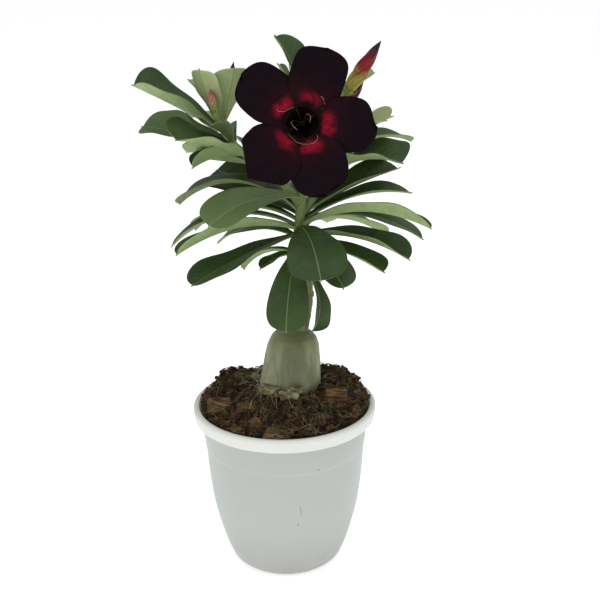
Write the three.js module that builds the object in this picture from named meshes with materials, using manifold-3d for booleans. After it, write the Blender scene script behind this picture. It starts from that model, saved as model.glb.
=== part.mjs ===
// A grafted desert rose (Adenium obesum hybrid) in a 12 cm nursery pot, with one open flower.
// Millimetres, +Z up, front toward -Y. The origin is the middle of the pot's flat underside.
import * as THREE from "three";
import { mergeVertices } from "three/addons/utils/BufferGeometryUtils.js";
import Module from "manifold-3d";

const wasm = await Module();
wasm.setup();

// ---- Driving dimensions, in millimetres and degrees ----

const GAP = 0.3; // between neighbouring pieces
const GOLDEN_ANGLE = 137.5; // turn between one leaf and the next on its shoot

const POT = { height: 112, rimRadius: 60, rimBand: 8, wall: 1.7, floor: 2.4, sides: 32 };
// Outside of the pot from foot to rim band: radius and height, bowed, with a faint step at 84 mm.
const POT_SIDE = [[40, 12], [44, 25], [48.2, 43], [50.6, 62], [52.3, 84], [52.8, 85.5], [54.8, 103]];
const POT_FOOT = [[27, 0], [33, 0.9], [36.8, 4.4]];
const POT_WELL = [[26, 2.4], [31.6, 3.1], [35, 6], [38.2, 12.4]]; // inside of the foot
// The rim band round its rolled top: how far inside the rim radius, and how far below the top.
const POT_RIM = [[0.2, 7], [0, 1.4], [1.2, 0], [2.6, 0.2], [3.6, 2]];
const DRAIN = { count: 6, radius: 3, ring: 20, sides: 12 };

const MIX = { rimHeight: 110, moundHeight: 15, moundReach: 24, moundFlat: 20, sides: 32 };
const MIX_EDGE = { radius: 55.4, height: 109 };
const MIX_RINGS = [50.5, 46, 41.5, 37, 32.5, 28, 20]; // radii of the rings of its top
// Heaps on the mix: x, y, height, reach.
const HEAPS = [
  [-38, 30, 9, 15], [37, 27, 6, 15], [-2, 42, 4, 16], [-46, 6, 4, 11], [20, -34, 1, 12], [44, -6, 3, 9],
];
// Husk chips that show: x, y, length, width, thickness, turn, tilt.
const CHIPS_SEEN = [
  [34, -11, 15, 11, 6, 12, 62], [-42, -14, 12, 9, 6, 5, 58], [-26, -20, 12, 8, 5, -6, 40],
  [-8, -43, 16, 8, 4, -14, 25], [35, 24, 15, 10, 5, 20, 20], [-33, -38, 12, 6, 4, -35, 15],
  [24, -35, 9, 6, 4, 30, 20], [46, -22, 9, 6, 4, 60, 25], [-50, 6, 10, 7, 4, 80, 30],
];
// Each end of a chip is cut aslant, so that no chip is a plain block.
const CHIP = { sink: 0.25, wide: 0.16, narrow: -0.1, shear: 0.12 };
const LOOSE_CHIPS = {
  count: 14, smallest: 5, largest: 11, nearest: 27, furthest: 50, width: 0.62, thickness: 0.4, sink: 0.1,
};
const STRANDS = { count: 5, thickness: 1.2, length: 18, nearest: 29, furthest: 44, sink: 1.5, arch: 1.1 };

// The swollen rootstock: where its flat top stands, how it leans between two heights, and the
// height up to which its hole is cut through the mix.
const CAUDEX = { x: 6.4, y: 0, lean: 0.075, leanFrom: 104, leanTo: 158, bore: 172, sides: 24 };
const CAUDEX_SIDE = [ // height and radius
  [50, 8], [62, 15], [84, 19], [104, 20.4], [113, 20.1], [119, 19.6], [126, 19.4],
  [136, 18.7], [147, 17.4], [155, 16], [159, 14.2], [161, 11],
];
// Root swellings at soil level: bearing round the caudex, height, how far they stand out.
const ROOT_BUMPS = [[-72, 125, 2.4], [-150, 124, 2.2], [160, 124, 2.4], [20, 121, 1.2], [95, 124, 2.4]];
const BUMP = { turn: 20, height: 7 }; // how far a swelling reaches round and up

// Middle lines of the stems.
const MAIN_STEM = [
  [11, 0, 161.3], [15, 0, 178], [15.5, 0, 200], [11, -1, 222], [12, -2, 240], [15, 0, 262],
  [19, 5, 284], [19, 6, 293],
];
const LEFT_SHOOT = [[12, -2, 246], [1, 1, 258], [-14, 5, 270], [-28, 8, 281], [-36, 9, 292]];
const RIGHT_SHOOT = [[13, -1, 240], [24, 9, 252], [33, 14, 264], [38, 16, 274]];
const WOOD_END = 0.26; // share of the main stem that is woody
// Shares of the side shoots that belong to the stem that they spring from.
const LEFT_STUB = 0.17;
const RIGHT_STUB = 0.32;
const STEM = { foot: 4.3, wood: 3.7, green: 3, tip: 2.2, sides: 8 };

// A blade's outline along its length, 0 at the stem and 1 at the tip.
const LEAF = {
  stations: [0, 0.22, 0.42, 0.6, 0.77, 0.92, 1],
  petiole: 1.3, tip: 0.5, thickness: 0.85, rootThickness: 1.5, broad: 40,
  unfold: 0.25, curl: 1.25, // share of its fold that a blade loses toward its tip, and how it curls
};
// Leaves that show, one row each: place on the shoot (0 foot, 1 tip), azimuth (0 right, 90 away,
// -90 to the front), rise at the stem, droop over the blade, length, width, fold of the two
// halves about the midrib, and roll about it.
const MAIN_LEAVES = [
  [0.49, -77, 21, 75, 62, 36, 12, 6], [0.407, -101, -3, 75, 66, 27, 15, 0],
  [0.31, -45, -35, 95, 47, 18, 30, 0], [0.4, -62, 17, 59, 57, 24, 20, 0],
  [0.463, -144, -4, 18, 80, 32, 14, 0], [0.486, -146, 24, 49, 88, 22, 35, 25],
  [0.5, -176, 33, 80, 86, 20, 18, 0], [0.634, -141, 21, 50, 72, 31, 12, -20],
  [0.56, 141, 27, 23, 72, 42, 12, -22], [0.57, 167, 49, 94, 87, 32, 20, 0],
  [0.53, 160, 29, 76, 77, 24, 30, 0], [0.36, 156, 22, 80, 47, 12, 30, 0],
  [0.37, -154, 16, 54, 30, 13, 20, 0], [0.44, 150, 24, 67, 63, 24, 12, -10],
  [0.497, -34, 34, 52, 95, 19, 38, -28], [0.53, 7, 18, 58, 83, 23, 12, 8],
  [0.52, 27, 11, 51, 65, 22, 30, 0], [0.451, -26, 17, 44, 75, 23, 48, -5],
  [0.43, -34, 3, 26, 62, 24, 30, 0], [0.56, 30, 24, 17, 76, 28, 35, 0],
  [0.52, 21, 32, 47, 79, 24, 22, 0], [0.9, 33, 52, 35, 58, 13, 20, -50],
  [0.9, 154, 87, 38, 63, 28, 30, 0], [0.93, 105, 62, 24, 50, 15, 30, 0],
  [0.86, 176, 75, 16, 49, 22, 20, 0],
];
const LEFT_LEAVES = [
  [0.92, -168, 36, 8, 62, 46, 38, -4], [0.82, 165, 8, 4, 57, 38, 18, 0],
  [0.55, -138, 30, 21, 60, 46, 24, -8], [0.75, -118, 44, 27, 33, 22, 30, 0],
  [0.6, 139, 2, 14, 54, 20, 30, 25], [0.5, 143, -3, -1, 49, 18, 30, 25],
  [0.93, -130, 58, -12, 45, 23, 12, 0], [0.98, -57, 64, -2, 46, 25, 14, -5],
  [0.86, 150, 66, 31, 43, 9, 30, 0],
];
const RIGHT_LEAVES = [
  [0.4, -30, 54, 69, 61, 44, 28, 0], [0.6, 20, 59, 86, 62, 24, 20, 0],
  [0.85, 4, 53, 36, 45, 19, 25, -35], [0.95, -34, 80, 86, 44, 32, 12, 10],
];
// Leaves at the back, hidden in front view, set by the golden angle between two bearings.
const MAIN_BACK = { count: 5, from: 0.44, to: 0.72, first: 74, last: 112, length: 74, width: 26 };
const LEFT_BACK = { count: 3, from: 0.62, to: 0.95, first: 88, last: 140, length: 52, width: 22 };
const RIGHT_BACK = { count: 3, from: 0.62, to: 0.97, first: 50, last: 125, length: 50, width: 22 };
const BACK = { rise: 22, steeper: 26, droop: 58, fold: 26, shorter: 0.25 }; // and how they stand

// The flower in its own frame: origin in the throat, +Z along its axis toward the front.
const FLOWER = { x: 14, y: -45, z: 304, lift: 10.5, throat: 10.2 };
// The five lobes: bearing, reach, width, how far the corners fall short of the middle, how far
// the end leans to one side, and how square the end is.
const LOBES = [
  [145.6, 48.6, 37, 1.4, -0.5, 8.2], [71, 48.2, 33.5, 0.7, -0.6, 6.7], [-2.6, 45, 33.4, 0.1, -0.7, 4.8],
  [-71, 47.2, 38, 1.1, -0.6, 5.4], [-132.2, 47.5, 39, 4.2, -0.2, 4],
];
const LOBE = {
  stations: [0, 0.14, 0.3, 0.5, 0.7, 0.86, 0.95, 1], across: 4, thickness: 0.85,
  root: 8.2, inset: 0.9, // half width at the root, and how far it reaches into the throat
  spread: 0.5, end: 0.06, // share of the length to full width, and how blunt the end is
  flare: 4.4, sink: 2.6, lean: 9, dish: 3.2, wave: 0.8, reflex: 4,
};
// Outside of the corolla tube: height below the throat and radius.
const TUBE_SIDE = [[-40, 2.6], [-32, 2.9], [-26, 4.6], [-16, 7.6], [-8, 9.6], [-2.5, 10.9]];
const TUBE = { wall: 0.8, floor: 2.5, sides: 20 };
const ANTHER_CONE = [[-36.5, 1.3], [-28.5, 1.5], [-21.5, 2.3], [-15, 1.7], [-11, 0.9]]; // height, radius
// Tails of the anthers: radius, turns about the axis in radians, spread, rise and final hook.
const TAILS = { count: 5, foot: -13, radius: 0.45, turn: 2.4, spread: 5.4, rise: 14, hook: 3.5 };
const CALYX = { depth: 6, radius: 3.4, sepals: 5, sepalLength: 8, sepalWidth: 4.2, thickness: 0.8 };

// Flower buds: foot, tip, greatest radius, and the point where the stalk leaves the shoot.
const BUDS = {
  bud_large: { foot: [41.5, -7, 316], tip: [60, -12, 344.7], radius: 5, stalkFrom: [20, 5, 288] },
  bud_small: { foot: [41, 3, 306.5], tip: [51, 0, 321.2], radius: 3.4, stalkFrom: [19.5, 6, 286] },
  // The calyx of the two small ones is a plain cup.
  bud_left_front: {
    foot: [-38.7, -6, 306.5], tip: [-40.2, -8, 317.5], radius: 2.6, stalkFrom: [-36, 9, 290], sepals: 0,
  },
  bud_left_back: {
    foot: [-31, 16, 315.5], tip: [-27.2, 17, 330], radius: 2.4, stalkFrom: [-35, 9, 290], sepals: 0,
  },
};
const BUD = { sides: 10, twist: 200, pleat: 0.12, steps: 7, foot: 0.55, tip: 0.45 };
const BUD_CALYX = { depth: 4, sepals: 5, sepalLength: 4, sepalWidth: 2.6, thickness: 0.7 };
const CUP_SIDES = 10;
const STALK = { radius: 1.3, flare: 0.3, sink: 0.6, straight: 5, sag: 0.5, sides: 6 };

// The round scar of a branch cut away from the trunk: place on the stem, offset and radii.
const SCAR = { at: 0.2, x: 3.2, y: -0.6, top: 1.7, foot: 2.4, length: 3 };
const COLLAR = { to: 0.05, flare: 1.4 }; // the swollen foot of the scion on the graft

const COLOURS = {
  pot: 0xdfe3de, mix: 0x4a3424, caudex: 0x84866a, wood: 0x8a8768, leaf: 0x3b5a30,
  petal: 0x220a12, anthers: 0x6e3a40, budRed: 0x8c2c33, budPink: 0xb86a62,
};

// ---- Helpers ----

const radians = THREE.MathUtils.degToRad;
const vector = (x, y, z) => new THREE.Vector3(x, y, z);
const spline = (points) =>
  new THREE.CatmullRomCurve3(points.map((p) => vector(...p)), false, "catmullrom", 0.5);

// A repeatable draw between 0 and 1.
function seeded(seed) {
  let state = seed;
  return () => {
    state = (state * 1664525 + 1013904223) % 4294967296;
    return state / 4294967296;
  };
}

function geometryOf(points, faces) {
  const geometry = new THREE.BufferGeometry();
  geometry.setAttribute(
    "position",
    new THREE.Float32BufferAttribute(points.flatMap((p) => p.toArray()), 3),
  );
  return geometry.setIndex(faces.flat());
}

// A closed geometry as a solid that can be joined and cut.
function solidOf(geometry, matrix = null) {
  const bare = geometry.clone();
  bare.deleteAttribute("normal");
  bare.deleteAttribute("uv");
  if (matrix) bare.applyMatrix4(matrix);
  const merged = mergeVertices(bare, 1e-4);
  return new wasm.Manifold(
    new wasm.Mesh({
      numProp: 3,
      vertProperties: new Float32Array(merged.attributes.position.array),
      triVerts: new Uint32Array(merged.index.array),
    }),
  );
}

// Solids joined into one body. Loose scraps go, and a hollow that joining seals is filled.
function joined(solids) {
  const bodies = solids.reduce((whole, next) => whole.add(next)).decompose();
  return bodies.sort((a, b) => b.volume() - a.volume())[0];
}

// A named mesh of a solid, in its own colour.
function piece(name, solid, colour, roughness) {
  const mesh = solid.getMesh();
  const geometry = new THREE.BufferGeometry();
  geometry.setAttribute("position", new THREE.BufferAttribute(mesh.vertProperties, 3));
  geometry.setIndex(new THREE.BufferAttribute(mesh.triVerts, 1));
  geometry.computeVertexNormals();
  const material = new THREE.MeshStandardMaterial({ color: colour, roughness, metalness: 0 });
  const made = new THREE.Mesh(geometry, material);
  made.name = name;
  return made;
}

// A solid through rings of points, each ring counter-clockwise seen from the next one's side.
function loft(rings) {
  const size = rings[0].length;
  const points = rings.flat();
  const faces = [];
  const id = (ring, i) => ring * size + (i % size);
  for (let k = 0; k + 1 < rings.length; k++) {
    for (let i = 0; i < size; i++) {
      faces.push([id(k, i), id(k, i + 1), id(k + 1, i + 1)]);
      faces.push([id(k, i), id(k + 1, i + 1), id(k + 1, i)]);
    }
  }
  const last = rings.length - 1;
  for (const ring of [0, last]) {
    const centre = rings[ring].reduce((sum, p) => sum.add(p), vector(0, 0, 0));
    points.push(centre.divideScalar(size));
    for (let i = 0; i < size; i++) {
      const [a, b] = ring === 0 ? [id(0, i + 1), id(0, i)] : [id(last, i), id(last, i + 1)];
      faces.push([points.length - 1, a, b]);
    }
  }
  return geometryOf(points, faces);
}

// A thin blade between two like grids of points, split into triangles alike on both faces.
function slab(top, bottom) {
  const rows = top.length;
  const columns = top[0].length;
  const under = rows * columns;
  const faces = [];
  const id = (i, j) => i * columns + j;
  const quad = (a, b, c, d) => faces.push([a, b, c], [a, c, d]);
  for (let i = 0; i + 1 < rows; i++) {
    for (let j = 0; j + 1 < columns; j++) {
      const [a, b, c, d] = [id(i, j), id(i + 1, j), id(i + 1, j + 1), id(i, j + 1)];
      quad(a, b, c, d);
      faces.push([under + a, under + c, under + b], [under + a, under + d, under + c]);
    }
    const [p, q] = [id(i, 0), id(i + 1, 0)];
    quad(p, under + p, under + q, q);
    const [r, s] = [id(i, columns - 1), id(i + 1, columns - 1)];
    quad(r, s, under + s, under + r);
  }
  for (let j = 0; j + 1 < columns; j++) {
    const [p, q] = [id(0, j), id(0, j + 1)];
    quad(p, q, under + q, under + p);
    const [r, s] = [id(rows - 1, j), id(rows - 1, j + 1)];
    quad(r, under + r, under + s, s);
  }
  return geometryOf([...top.flat(), ...bottom.flat()], faces);
}

// A round stem along part of a curve, its radius easing from one end to the other.
function stem(curve, from, to, startRadius, endRadius, steps, sides = STEM.sides) {
  const rings = [];
  for (let k = 0; k <= steps; k++) {
    const share = k / steps;
    const at = from + (to - from) * share;
    const along = curve.getTangent(at);
    const side = vector(1, 0, 0).addScaledVector(along, -along.x);
    side.normalize();
    const front = along.clone().cross(side);
    const radius = startRadius + (endRadius - startRadius) * share;
    const centre = curve.getPoint(at);
    rings.push(Array.from({ length: sides }, (_, i) => {
      const angle = (2 * Math.PI * i) / sides;
      return centre.clone()
        .addScaledVector(side, radius * Math.cos(angle))
        .addScaledVector(front, radius * Math.sin(angle));
    }));
  }
  return loft(rings);
}

// ---- Pot ----

function pot() {
  const { height, rimRadius, rimBand, wall, floor, sides } = POT;
  const outside = [[0, 0], ...POT_FOOT, ...POT_SIDE];
  const rim = [[1, rimBand], ...POT_RIM].map(([inset, drop]) => [rimRadius - inset, height - drop]);
  const inside = [[0, floor], ...POT_WELL, ...POT_SIDE.slice(1).map(([r, z]) => [r - wall, z])];
  const profile = [...outside, ...rim, ...inside.reverse()].map(([r, z]) => new THREE.Vector2(r, z));
  const lathe = new THREE.LatheGeometry(profile, sides);
  lathe.rotateX(Math.PI / 2);
  let body = solidOf(lathe);
  const hole = new THREE.CylinderGeometry(DRAIN.radius, DRAIN.radius, 4 * floor, DRAIN.sides);
  hole.rotateX(Math.PI / 2);
  for (let i = 0; i < DRAIN.count; i++) {
    const bearing = (2 * Math.PI * (i + 0.5)) / DRAIN.count;
    const place = new THREE.Matrix4()
      .makeTranslation(DRAIN.ring * Math.cos(bearing), DRAIN.ring * Math.sin(bearing), 0);
    body = body.subtract(solidOf(hole, place));
  }
  return piece("pot", body, COLOURS.pot, 0.45);
}

// ---- Caudex ----

// Rings of the caudex grown outward by an allowance; the same form cuts its hole in the mix.
function caudexRings(grow) {
  const [foot, ...above] = CAUDEX_SIDE;
  const rows = [[foot[0] - grow, foot[1]], ...above];
  if (grow) rows.push([CAUDEX.bore, above.at(-1)[1]]);
  return rows.map(([z, r]) => {
    const { clamp } = THREE.MathUtils;
    const x = CAUDEX.x + CAUDEX.lean * (clamp(z, CAUDEX.leanFrom, CAUDEX.leanTo) - CAUDEX.leanTo);
    return Array.from({ length: CAUDEX.sides }, (_, i) => {
      const angle = (2 * Math.PI * i) / CAUDEX.sides;
      const bearing = THREE.MathUtils.radToDeg(angle);
      let radius = r * (1 + 0.018 * Math.cos(3 * angle + 1) + 0.012 * Math.cos(5 * angle));
      for (const [side, height, stand] of ROOT_BUMPS) {
        const turn = THREE.MathUtils.euclideanModulo(bearing - side + 180, 360) - 180;
        radius += stand * Math.exp(-((turn / BUMP.turn) ** 2) - ((z - height) / BUMP.height) ** 2);
      }
      radius += grow;
      return vector(x + radius * Math.cos(angle), CAUDEX.y + radius * Math.sin(angle), z);
    });
  });
}

// ---- Potting mix ----

// Height of the mix: level at the rim, mounded round the caudex, with heaps and small bumps.
function mixHeight(x, y) {
  const fromFoot = Math.max(0, Math.hypot(x - CAUDEX.x, y - CAUDEX.y) - MIX.moundFlat);
  let height = MIX.rimHeight + MIX.moundHeight * Math.exp(-((fromFoot / MIX.moundReach) ** 2));
  for (const [hx, hy, rise, reach] of HEAPS) {
    height += rise * Math.exp(-(((x - hx) ** 2 + (y - hy) ** 2) / reach ** 2));
  }
  const coarse = Math.sin(0.41 * x + 1.3) * Math.cos(0.37 * y - 0.7);
  const fine = Math.sin(0.93 * x - 0.52 * y) * Math.cos(0.71 * y + 0.4 * x);
  return height + 1.1 * coarse + 0.9 * fine;
}

function chip(x, y, length, width, thickness, turn, tilt, sink = CHIP.sink) {
  const block = new THREE.BoxGeometry(length, width, thickness);
  const corners = block.attributes.position;
  for (let i = 0; i < corners.count; i++) {
    const skew = corners.getX(i) > 0 ? CHIP.wide : CHIP.narrow;
    corners.setY(i, corners.getY(i) * (1 + skew) + CHIP.shear * corners.getX(i));
    corners.setZ(i, corners.getZ(i) * (1 - skew));
  }
  const place = new THREE.Matrix4().makeRotationFromEuler(
    new THREE.Euler(radians(tilt), radians(tilt / 5), radians(turn), "ZYX"),
  );
  place.setPosition(x, y, mixHeight(x, y) - sink * thickness + 0.3 * width * Math.sin(radians(tilt)));
  return solidOf(block, place);
}

function looseChips() {
  const draw = seeded(11);
  const { count, smallest, largest, nearest, furthest, width, thickness, sink } = LOOSE_CHIPS;
  return Array.from({ length: count }, (_, i) => {
    const bearing = radians(i * GOLDEN_ANGLE + 12 * draw());
    const reach = nearest + (furthest - nearest) * Math.sqrt((i + 0.5) / count);
    const length = smallest + (largest - smallest) * draw();
    const [turn, tilt] = [360 * draw(), 50 * draw() - 15];
    const [x, y] = [reach * Math.cos(bearing), reach * Math.sin(bearing)];
    return chip(x, y, length, width * length, thickness * length, turn, tilt, sink);
  });
}

// Coir strands: low arches with both ends in the mix.
function strands() {
  const draw = seeded(29);
  return Array.from({ length: STRANDS.count }, (_, i) => {
    const bearing = radians(i * GOLDEN_ANGLE + 40);
    const reach = STRANDS.nearest + (STRANDS.furthest - STRANDS.nearest) * draw();
    const turn = bearing + 1.2 + 1.4 * draw();
    const middle = vector(reach * Math.cos(bearing), reach * Math.sin(bearing), 0);
    const points = [-1, -0.4, 0.4, 1].map((share) => {
      const half = (share * STRANDS.length) / 2;
      const [x, y] = [middle.x + half * Math.cos(turn), middle.y + half * Math.sin(turn)];
      return [x, y, mixHeight(x, y) + (Math.abs(share) === 1 ? -STRANDS.sink : STRANDS.arch)];
    });
    const radius = STRANDS.thickness / 2;
    return solidOf(stem(spline(points), 0, 1, radius, radius, 4, 4));
  });
}

function pottingMix() {
  const ring = (radius, height) =>
    Array.from({ length: MIX.sides }, (_, i) => {
      const angle = (2 * Math.PI * i) / MIX.sides;
      const [x, y] = [radius * Math.cos(angle), radius * Math.sin(angle)];
      return vector(x, y, height ?? mixHeight(x, y));
    });
  // The sides follow the inside of the pot, and the edge meets the slope inside the rim.
  const wall = POT_SIDE.slice(1).map(([r, z]) => [r - POT.wall, z]);
  const sides = [...POT_WELL, ...wall].map(([r, z]) => ring(r - GAP, z + GAP));
  const { radius: edge, height: edgeHeight } = MIX_EDGE;
  const top = MIX_RINGS.map((radius) => ring(radius));
  const body = solidOf(loft([...sides, ring(edge, edgeHeight), ...top]));
  const bits = [...CHIPS_SEEN.map((row) => chip(...row)), ...looseChips(), ...strands()];
  const bore = new THREE.CylinderGeometry(wall.at(-1)[0], wall.at(-1)[0], POT.height, MIX.sides);
  bore.rotateX(Math.PI / 2);
  bore.translate(0, 0, POT.height);
  const within = solidOf(bore);
  const heap = joined([body, ...bits.map((bit) => bit.intersect(within))]);
  const bored = joined([heap.subtract(solidOf(loft(caudexRings(GAP))))]);
  return piece("potting_mix", bored, COLOURS.mix, 0.95);
}

// ---- Leafy shoots ----

// Share of the half width at a station: narrow at the stem, widest near three quarters, and
// divided by its greatest value.
const outline = (s) => (s ** 1.05 * (1 - s ** 4.2) ** 0.55) / 0.5755;

// One leaf on a shoot's curve. The midrib bends at an even rate, so its points are in closed form.
function leaf(curve, [at, azimuth, rise, droop, length, width, fold, roll]) {
  const base = curve.getPoint(at);
  const [turn, climb, bend] = [radians(azimuth), radians(rise), radians(droop || 0.1)];
  const out = vector(Math.cos(turn), Math.sin(turn), 0);
  const side = vector(-Math.sin(turn), Math.cos(turn), 0);
  const halves = width >= LEAF.broad ? [-1, -0.5, 0, 0.5, 1] : [-1, 0, 1];
  const [top, bottom] = [[], []];
  for (const s of LEAF.stations) {
    const slope = climb - bend * s;
    const reach = (length * (Math.sin(climb) - Math.sin(slope))) / bend;
    const height = (length * (Math.cos(slope) - Math.cos(climb))) / bend;
    const rib = base.clone().addScaledVector(out, reach);
    rib.z += height;
    const along = out.clone().multiplyScalar(Math.cos(slope));
    along.z = Math.sin(slope);
    const up = along.clone().cross(side);
    const across = side.clone().applyAxisAngle(along, radians(roll));
    up.applyAxisAngle(along, radians(roll));
    const half = Math.max(Math.hypot(LEAF.petiole * (1 - s), (width / 2) * outline(s)), LEAF.tip);
    const lift = radians(fold * (1 - LEAF.unfold * s));
    const thick = LEAF.thickness + LEAF.rootThickness * (1 - s) ** 3;
    const row = halves.map((v) =>
      rib.clone()
        .addScaledVector(across, half * v * Math.cos(lift))
        .addScaledVector(up, half * Math.abs(v) ** LEAF.curl * Math.sin(lift)),
    );
    top.push(row.map((p) => p.clone().addScaledVector(up, thick / 2)));
    bottom.push(row.map((p) => p.clone().addScaledVector(up, -thick / 2)));
  }
  return solidOf(slab(top, bottom));
}

// Rows for the hidden leaves: steps of the golden angle folded between two bearings.
function backRows({ count, from, to, first, last, length, width }) {
  return Array.from({ length: count }, (_, i) => {
    const share = (i * GOLDEN_ANGLE / 360) % 1;
    const azimuth = first + (last - first) * share;
    const size = 1 - BACK.shorter * (i / count);
    const at = from + ((to - from) * i) / count;
    const rise = BACK.rise + BACK.steeper * (i / count);
    return [at, azimuth, rise, BACK.droop, length * size, width * size, BACK.fold, 0];
  });
}

// ---- Calyx, stalks and buds ----

// A little cup with five pointed sepals, open along +Z.
function calyx({ depth, radius, sepals, sepalLength, sepalWidth, thickness }, matrix) {
  const ring = (r, z) =>
    Array.from({ length: CUP_SIDES }, (_, i) => {
      const angle = (2 * Math.PI * i) / CUP_SIDES;
      return vector(r * Math.cos(angle), r * Math.sin(angle), z);
    });
  const cup = [ring(STALK.radius, -depth), ring(0.75 * radius, -depth / 2), ring(radius, -GAP)];
  const parts = [loft(cup)];
  for (let k = 0; k < sepals; k++) {
    const turn = new THREE.Matrix4().makeRotationZ((2 * Math.PI * k) / sepals);
    // The root is sunk in the cup, and the blade stands just clear of what the cup holds.
    const rows = [0, 0.4, 1].map((s) => {
      const half = (sepalWidth / 2) * (1 - s ** 1.6) + 0.3;
      const out = s === 0 ? 0.7 * radius : radius + thickness / 2 + 0.15 + 0.5 * s;
      const height = s === 0 ? -0.55 * depth : sepalLength * s - 1;
      return [-1, 0, 1].map((v) => vector(out - 0.12 * half * v * v, half * v, height));
    });
    const outer = rows.map((row) => row.map((p) => p.clone().setX(p.x + thickness / 2)));
    const inner = rows.map((row) => row.map((p) => p.clone().setX(p.x - thickness / 2)));
    parts.push(slab(inner, outer).applyMatrix4(turn));
  }
  return joined(parts.map((part) => solidOf(part, matrix)));
}

// The calyx of a bud, as wide as the bud's foot.
const budCalyx = (row, frame) => {
  const radius = BUD.foot * row.radius * (1 + BUD.pleat) + 0.4;
  return calyx({ ...BUD_CALYX, radius, sepals: row.sepals ?? BUD_CALYX.sepals }, frame);
};

// Where a bud stands: its foot at the origin and its axis along +Z, in the plant's frame.
function budFrame({ foot, tip }) {
  const start = vector(...foot);
  const axis = vector(...tip).sub(start).normalize();
  const turn = new THREE.Quaternion().setFromUnitVectors(vector(0, 0, 1), axis);
  return new THREE.Matrix4().compose(start, turn, vector(1, 1, 1));
}

// A stalk that leaves a shoot upward and runs into the foot of a calyx along the calyx's axis.
function stalk(from, frame, depth) {
  const foot = vector(0, 0, STALK.sink - depth).applyMatrix4(frame);
  const before = vector(0, 0, -STALK.straight - depth).applyMatrix4(frame);
  const middle = vector(...from).lerp(before, 0.5);
  middle.z -= STALK.sag;
  const path = spline([from, middle.toArray(), before.toArray(), foot.toArray()]);
  return solidOf(stem(path, 0, 1, STALK.radius + STALK.flare, STALK.radius, 5, STALK.sides));
}

// A closed bud: a spindle whose five pleats wind round it toward a point.
function bud(name, row, colour) {
  const length = vector(...row.tip).distanceTo(vector(...row.foot));
  const rings = [];
  for (let k = 0; k <= BUD.steps; k++) {
    const s = k / BUD.steps;
    const swell = BUD.foot * (1 - s) ** 2 + 2.1 * s ** 0.8 * (1 - s) ** 0.85;
    const radius = Math.max(row.radius * Math.min(swell, 1), BUD.tip);
    rings.push(Array.from({ length: BUD.sides }, (_, i) => {
      const angle = (2 * Math.PI * i) / BUD.sides;
      const pleated = radius * (1 + BUD.pleat * Math.cos(5 * angle) * Math.min(1, 4 * s));
      const turned = angle + radians(BUD.twist * s);
      return vector(pleated * Math.cos(turned), pleated * Math.sin(turned), length * s);
    }));
  }
  const made = piece(name, solidOf(loft(rings)), colour, 0.6);
  made.applyMatrix4(budFrame(row));
  return made;
}

// ---- Flower ----

const flower = new THREE.Group();
flower.position.set(FLOWER.x, FLOWER.y, FLOWER.z);
flower.rotation.x = radians(90 - FLOWER.lift);
flower.updateMatrixWorld(true);

// One lobe lies along +X of the flower's frame: squarish, dished, one edge over its neighbour.
// Its root follows the round mouth of the tube.
function lobe([bearing, reach, width, trim, skew, squareness]) {
  const { across, thickness, root, inset, spread, end, flare, sink, lean, dish, wave, reflex } = LOBE;
  const [top, bottom] = [[], []];
  for (const s of LOBE.stations) {
    const out = FLOWER.throat - inset + (reach - FLOWER.throat + inset) * s;
    const opening = Math.sin((Math.min(1, s / spread) * Math.PI) / 2);
    const grow = root + (width / 2 - root) * opening;
    const half = grow * Math.max(1 - s ** squareness, end) ** 0.5;
    const row = Array.from({ length: across + 1 }, (_, j) => {
      const v = (2 * j) / across - 1;
      const mouth = FLOWER.throat - inset - Math.sqrt((FLOWER.throat + 0.2) ** 2 - (root * v) ** 2);
      const x = out - trim * (v - skew) ** 2 * s ** 3 - mouth * (1 - s) ** 5;
      const cup = -dish * (1 - v * v) * s * (1 - s);
      const ripple = wave * Math.sin(5 * s + 2.4 * v) * v * v * s;
      const tilt = half * v * Math.sin(radians(lean)) * s;
      return vector(x, half * v, flare * opening - sink - reflex * s ** 3 + cup + ripple + tilt);
    });
    top.push(row.map((p) => vector(p.x, p.y, p.z + thickness / 2)));
    bottom.push(row.map((p) => vector(p.x, p.y, p.z - thickness / 2)));
  }
  const turn = new THREE.Matrix4().makeRotationZ(radians(bearing));
  return solidOf(slab(top, bottom), turn);
}

function corolla() {
  const outside = TUBE_SIDE.map(([z, r]) => [r, z]);
  const inside = TUBE_SIDE.slice(1).map(([z, r]) => [r - TUBE.wall, z + 0.3]).reverse();
  const floor = TUBE_SIDE[0][0] + TUBE.floor;
  const profile = [[0, TUBE_SIDE[0][0]], ...outside, ...inside, [1.9, floor + 1], [0, floor]];
  const tube = new THREE.LatheGeometry(profile.map(([r, z]) => new THREE.Vector2(r, z)), TUBE.sides);
  tube.rotateX(Math.PI / 2);
  const body = joined([solidOf(tube), ...LOBES.map(lobe)]);
  return piece("corolla", body, COLOURS.petal, 0.75);
}

// Five anthers joined in a cone, each ending in a long tail that twists out of the throat.
function antherCone() {
  const { count, foot, radius, turn, spread, rise, hook } = TAILS;
  const rings = ANTHER_CONE.map(([z, r]) => Array.from({ length: 2 * count }, (_, i) => {
    const angle = (Math.PI * i) / count;
    const ridged = r * (1 + 0.12 * Math.cos(count * angle));
    return vector(ridged * Math.cos(angle), ridged * Math.sin(angle), z);
  }));
  const tails = Array.from({ length: count }, (_, k) => {
    const points = [0, 0.3, 0.6, 0.85, 1].map((s) => {
      const angle = (2 * Math.PI * k) / count + turn * s;
      const reach = 0.5 + spread * s ** 1.4;
      return [reach * Math.cos(angle), reach * Math.sin(angle), foot + rise * s - hook * s ** 4];
    });
    return solidOf(stem(spline(points), 0, 1, radius + 0.15, radius, 6, 4));
  });
  return piece("anther_cone", joined([solidOf(loft(rings)), ...tails]), COLOURS.anthers, 0.7);
}

// ---- Stems ----

const mainCurve = spline(MAIN_STEM);
const leftCurve = spline(LEFT_SHOOT);
const rightCurve = spline(RIGHT_SHOOT);

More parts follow.
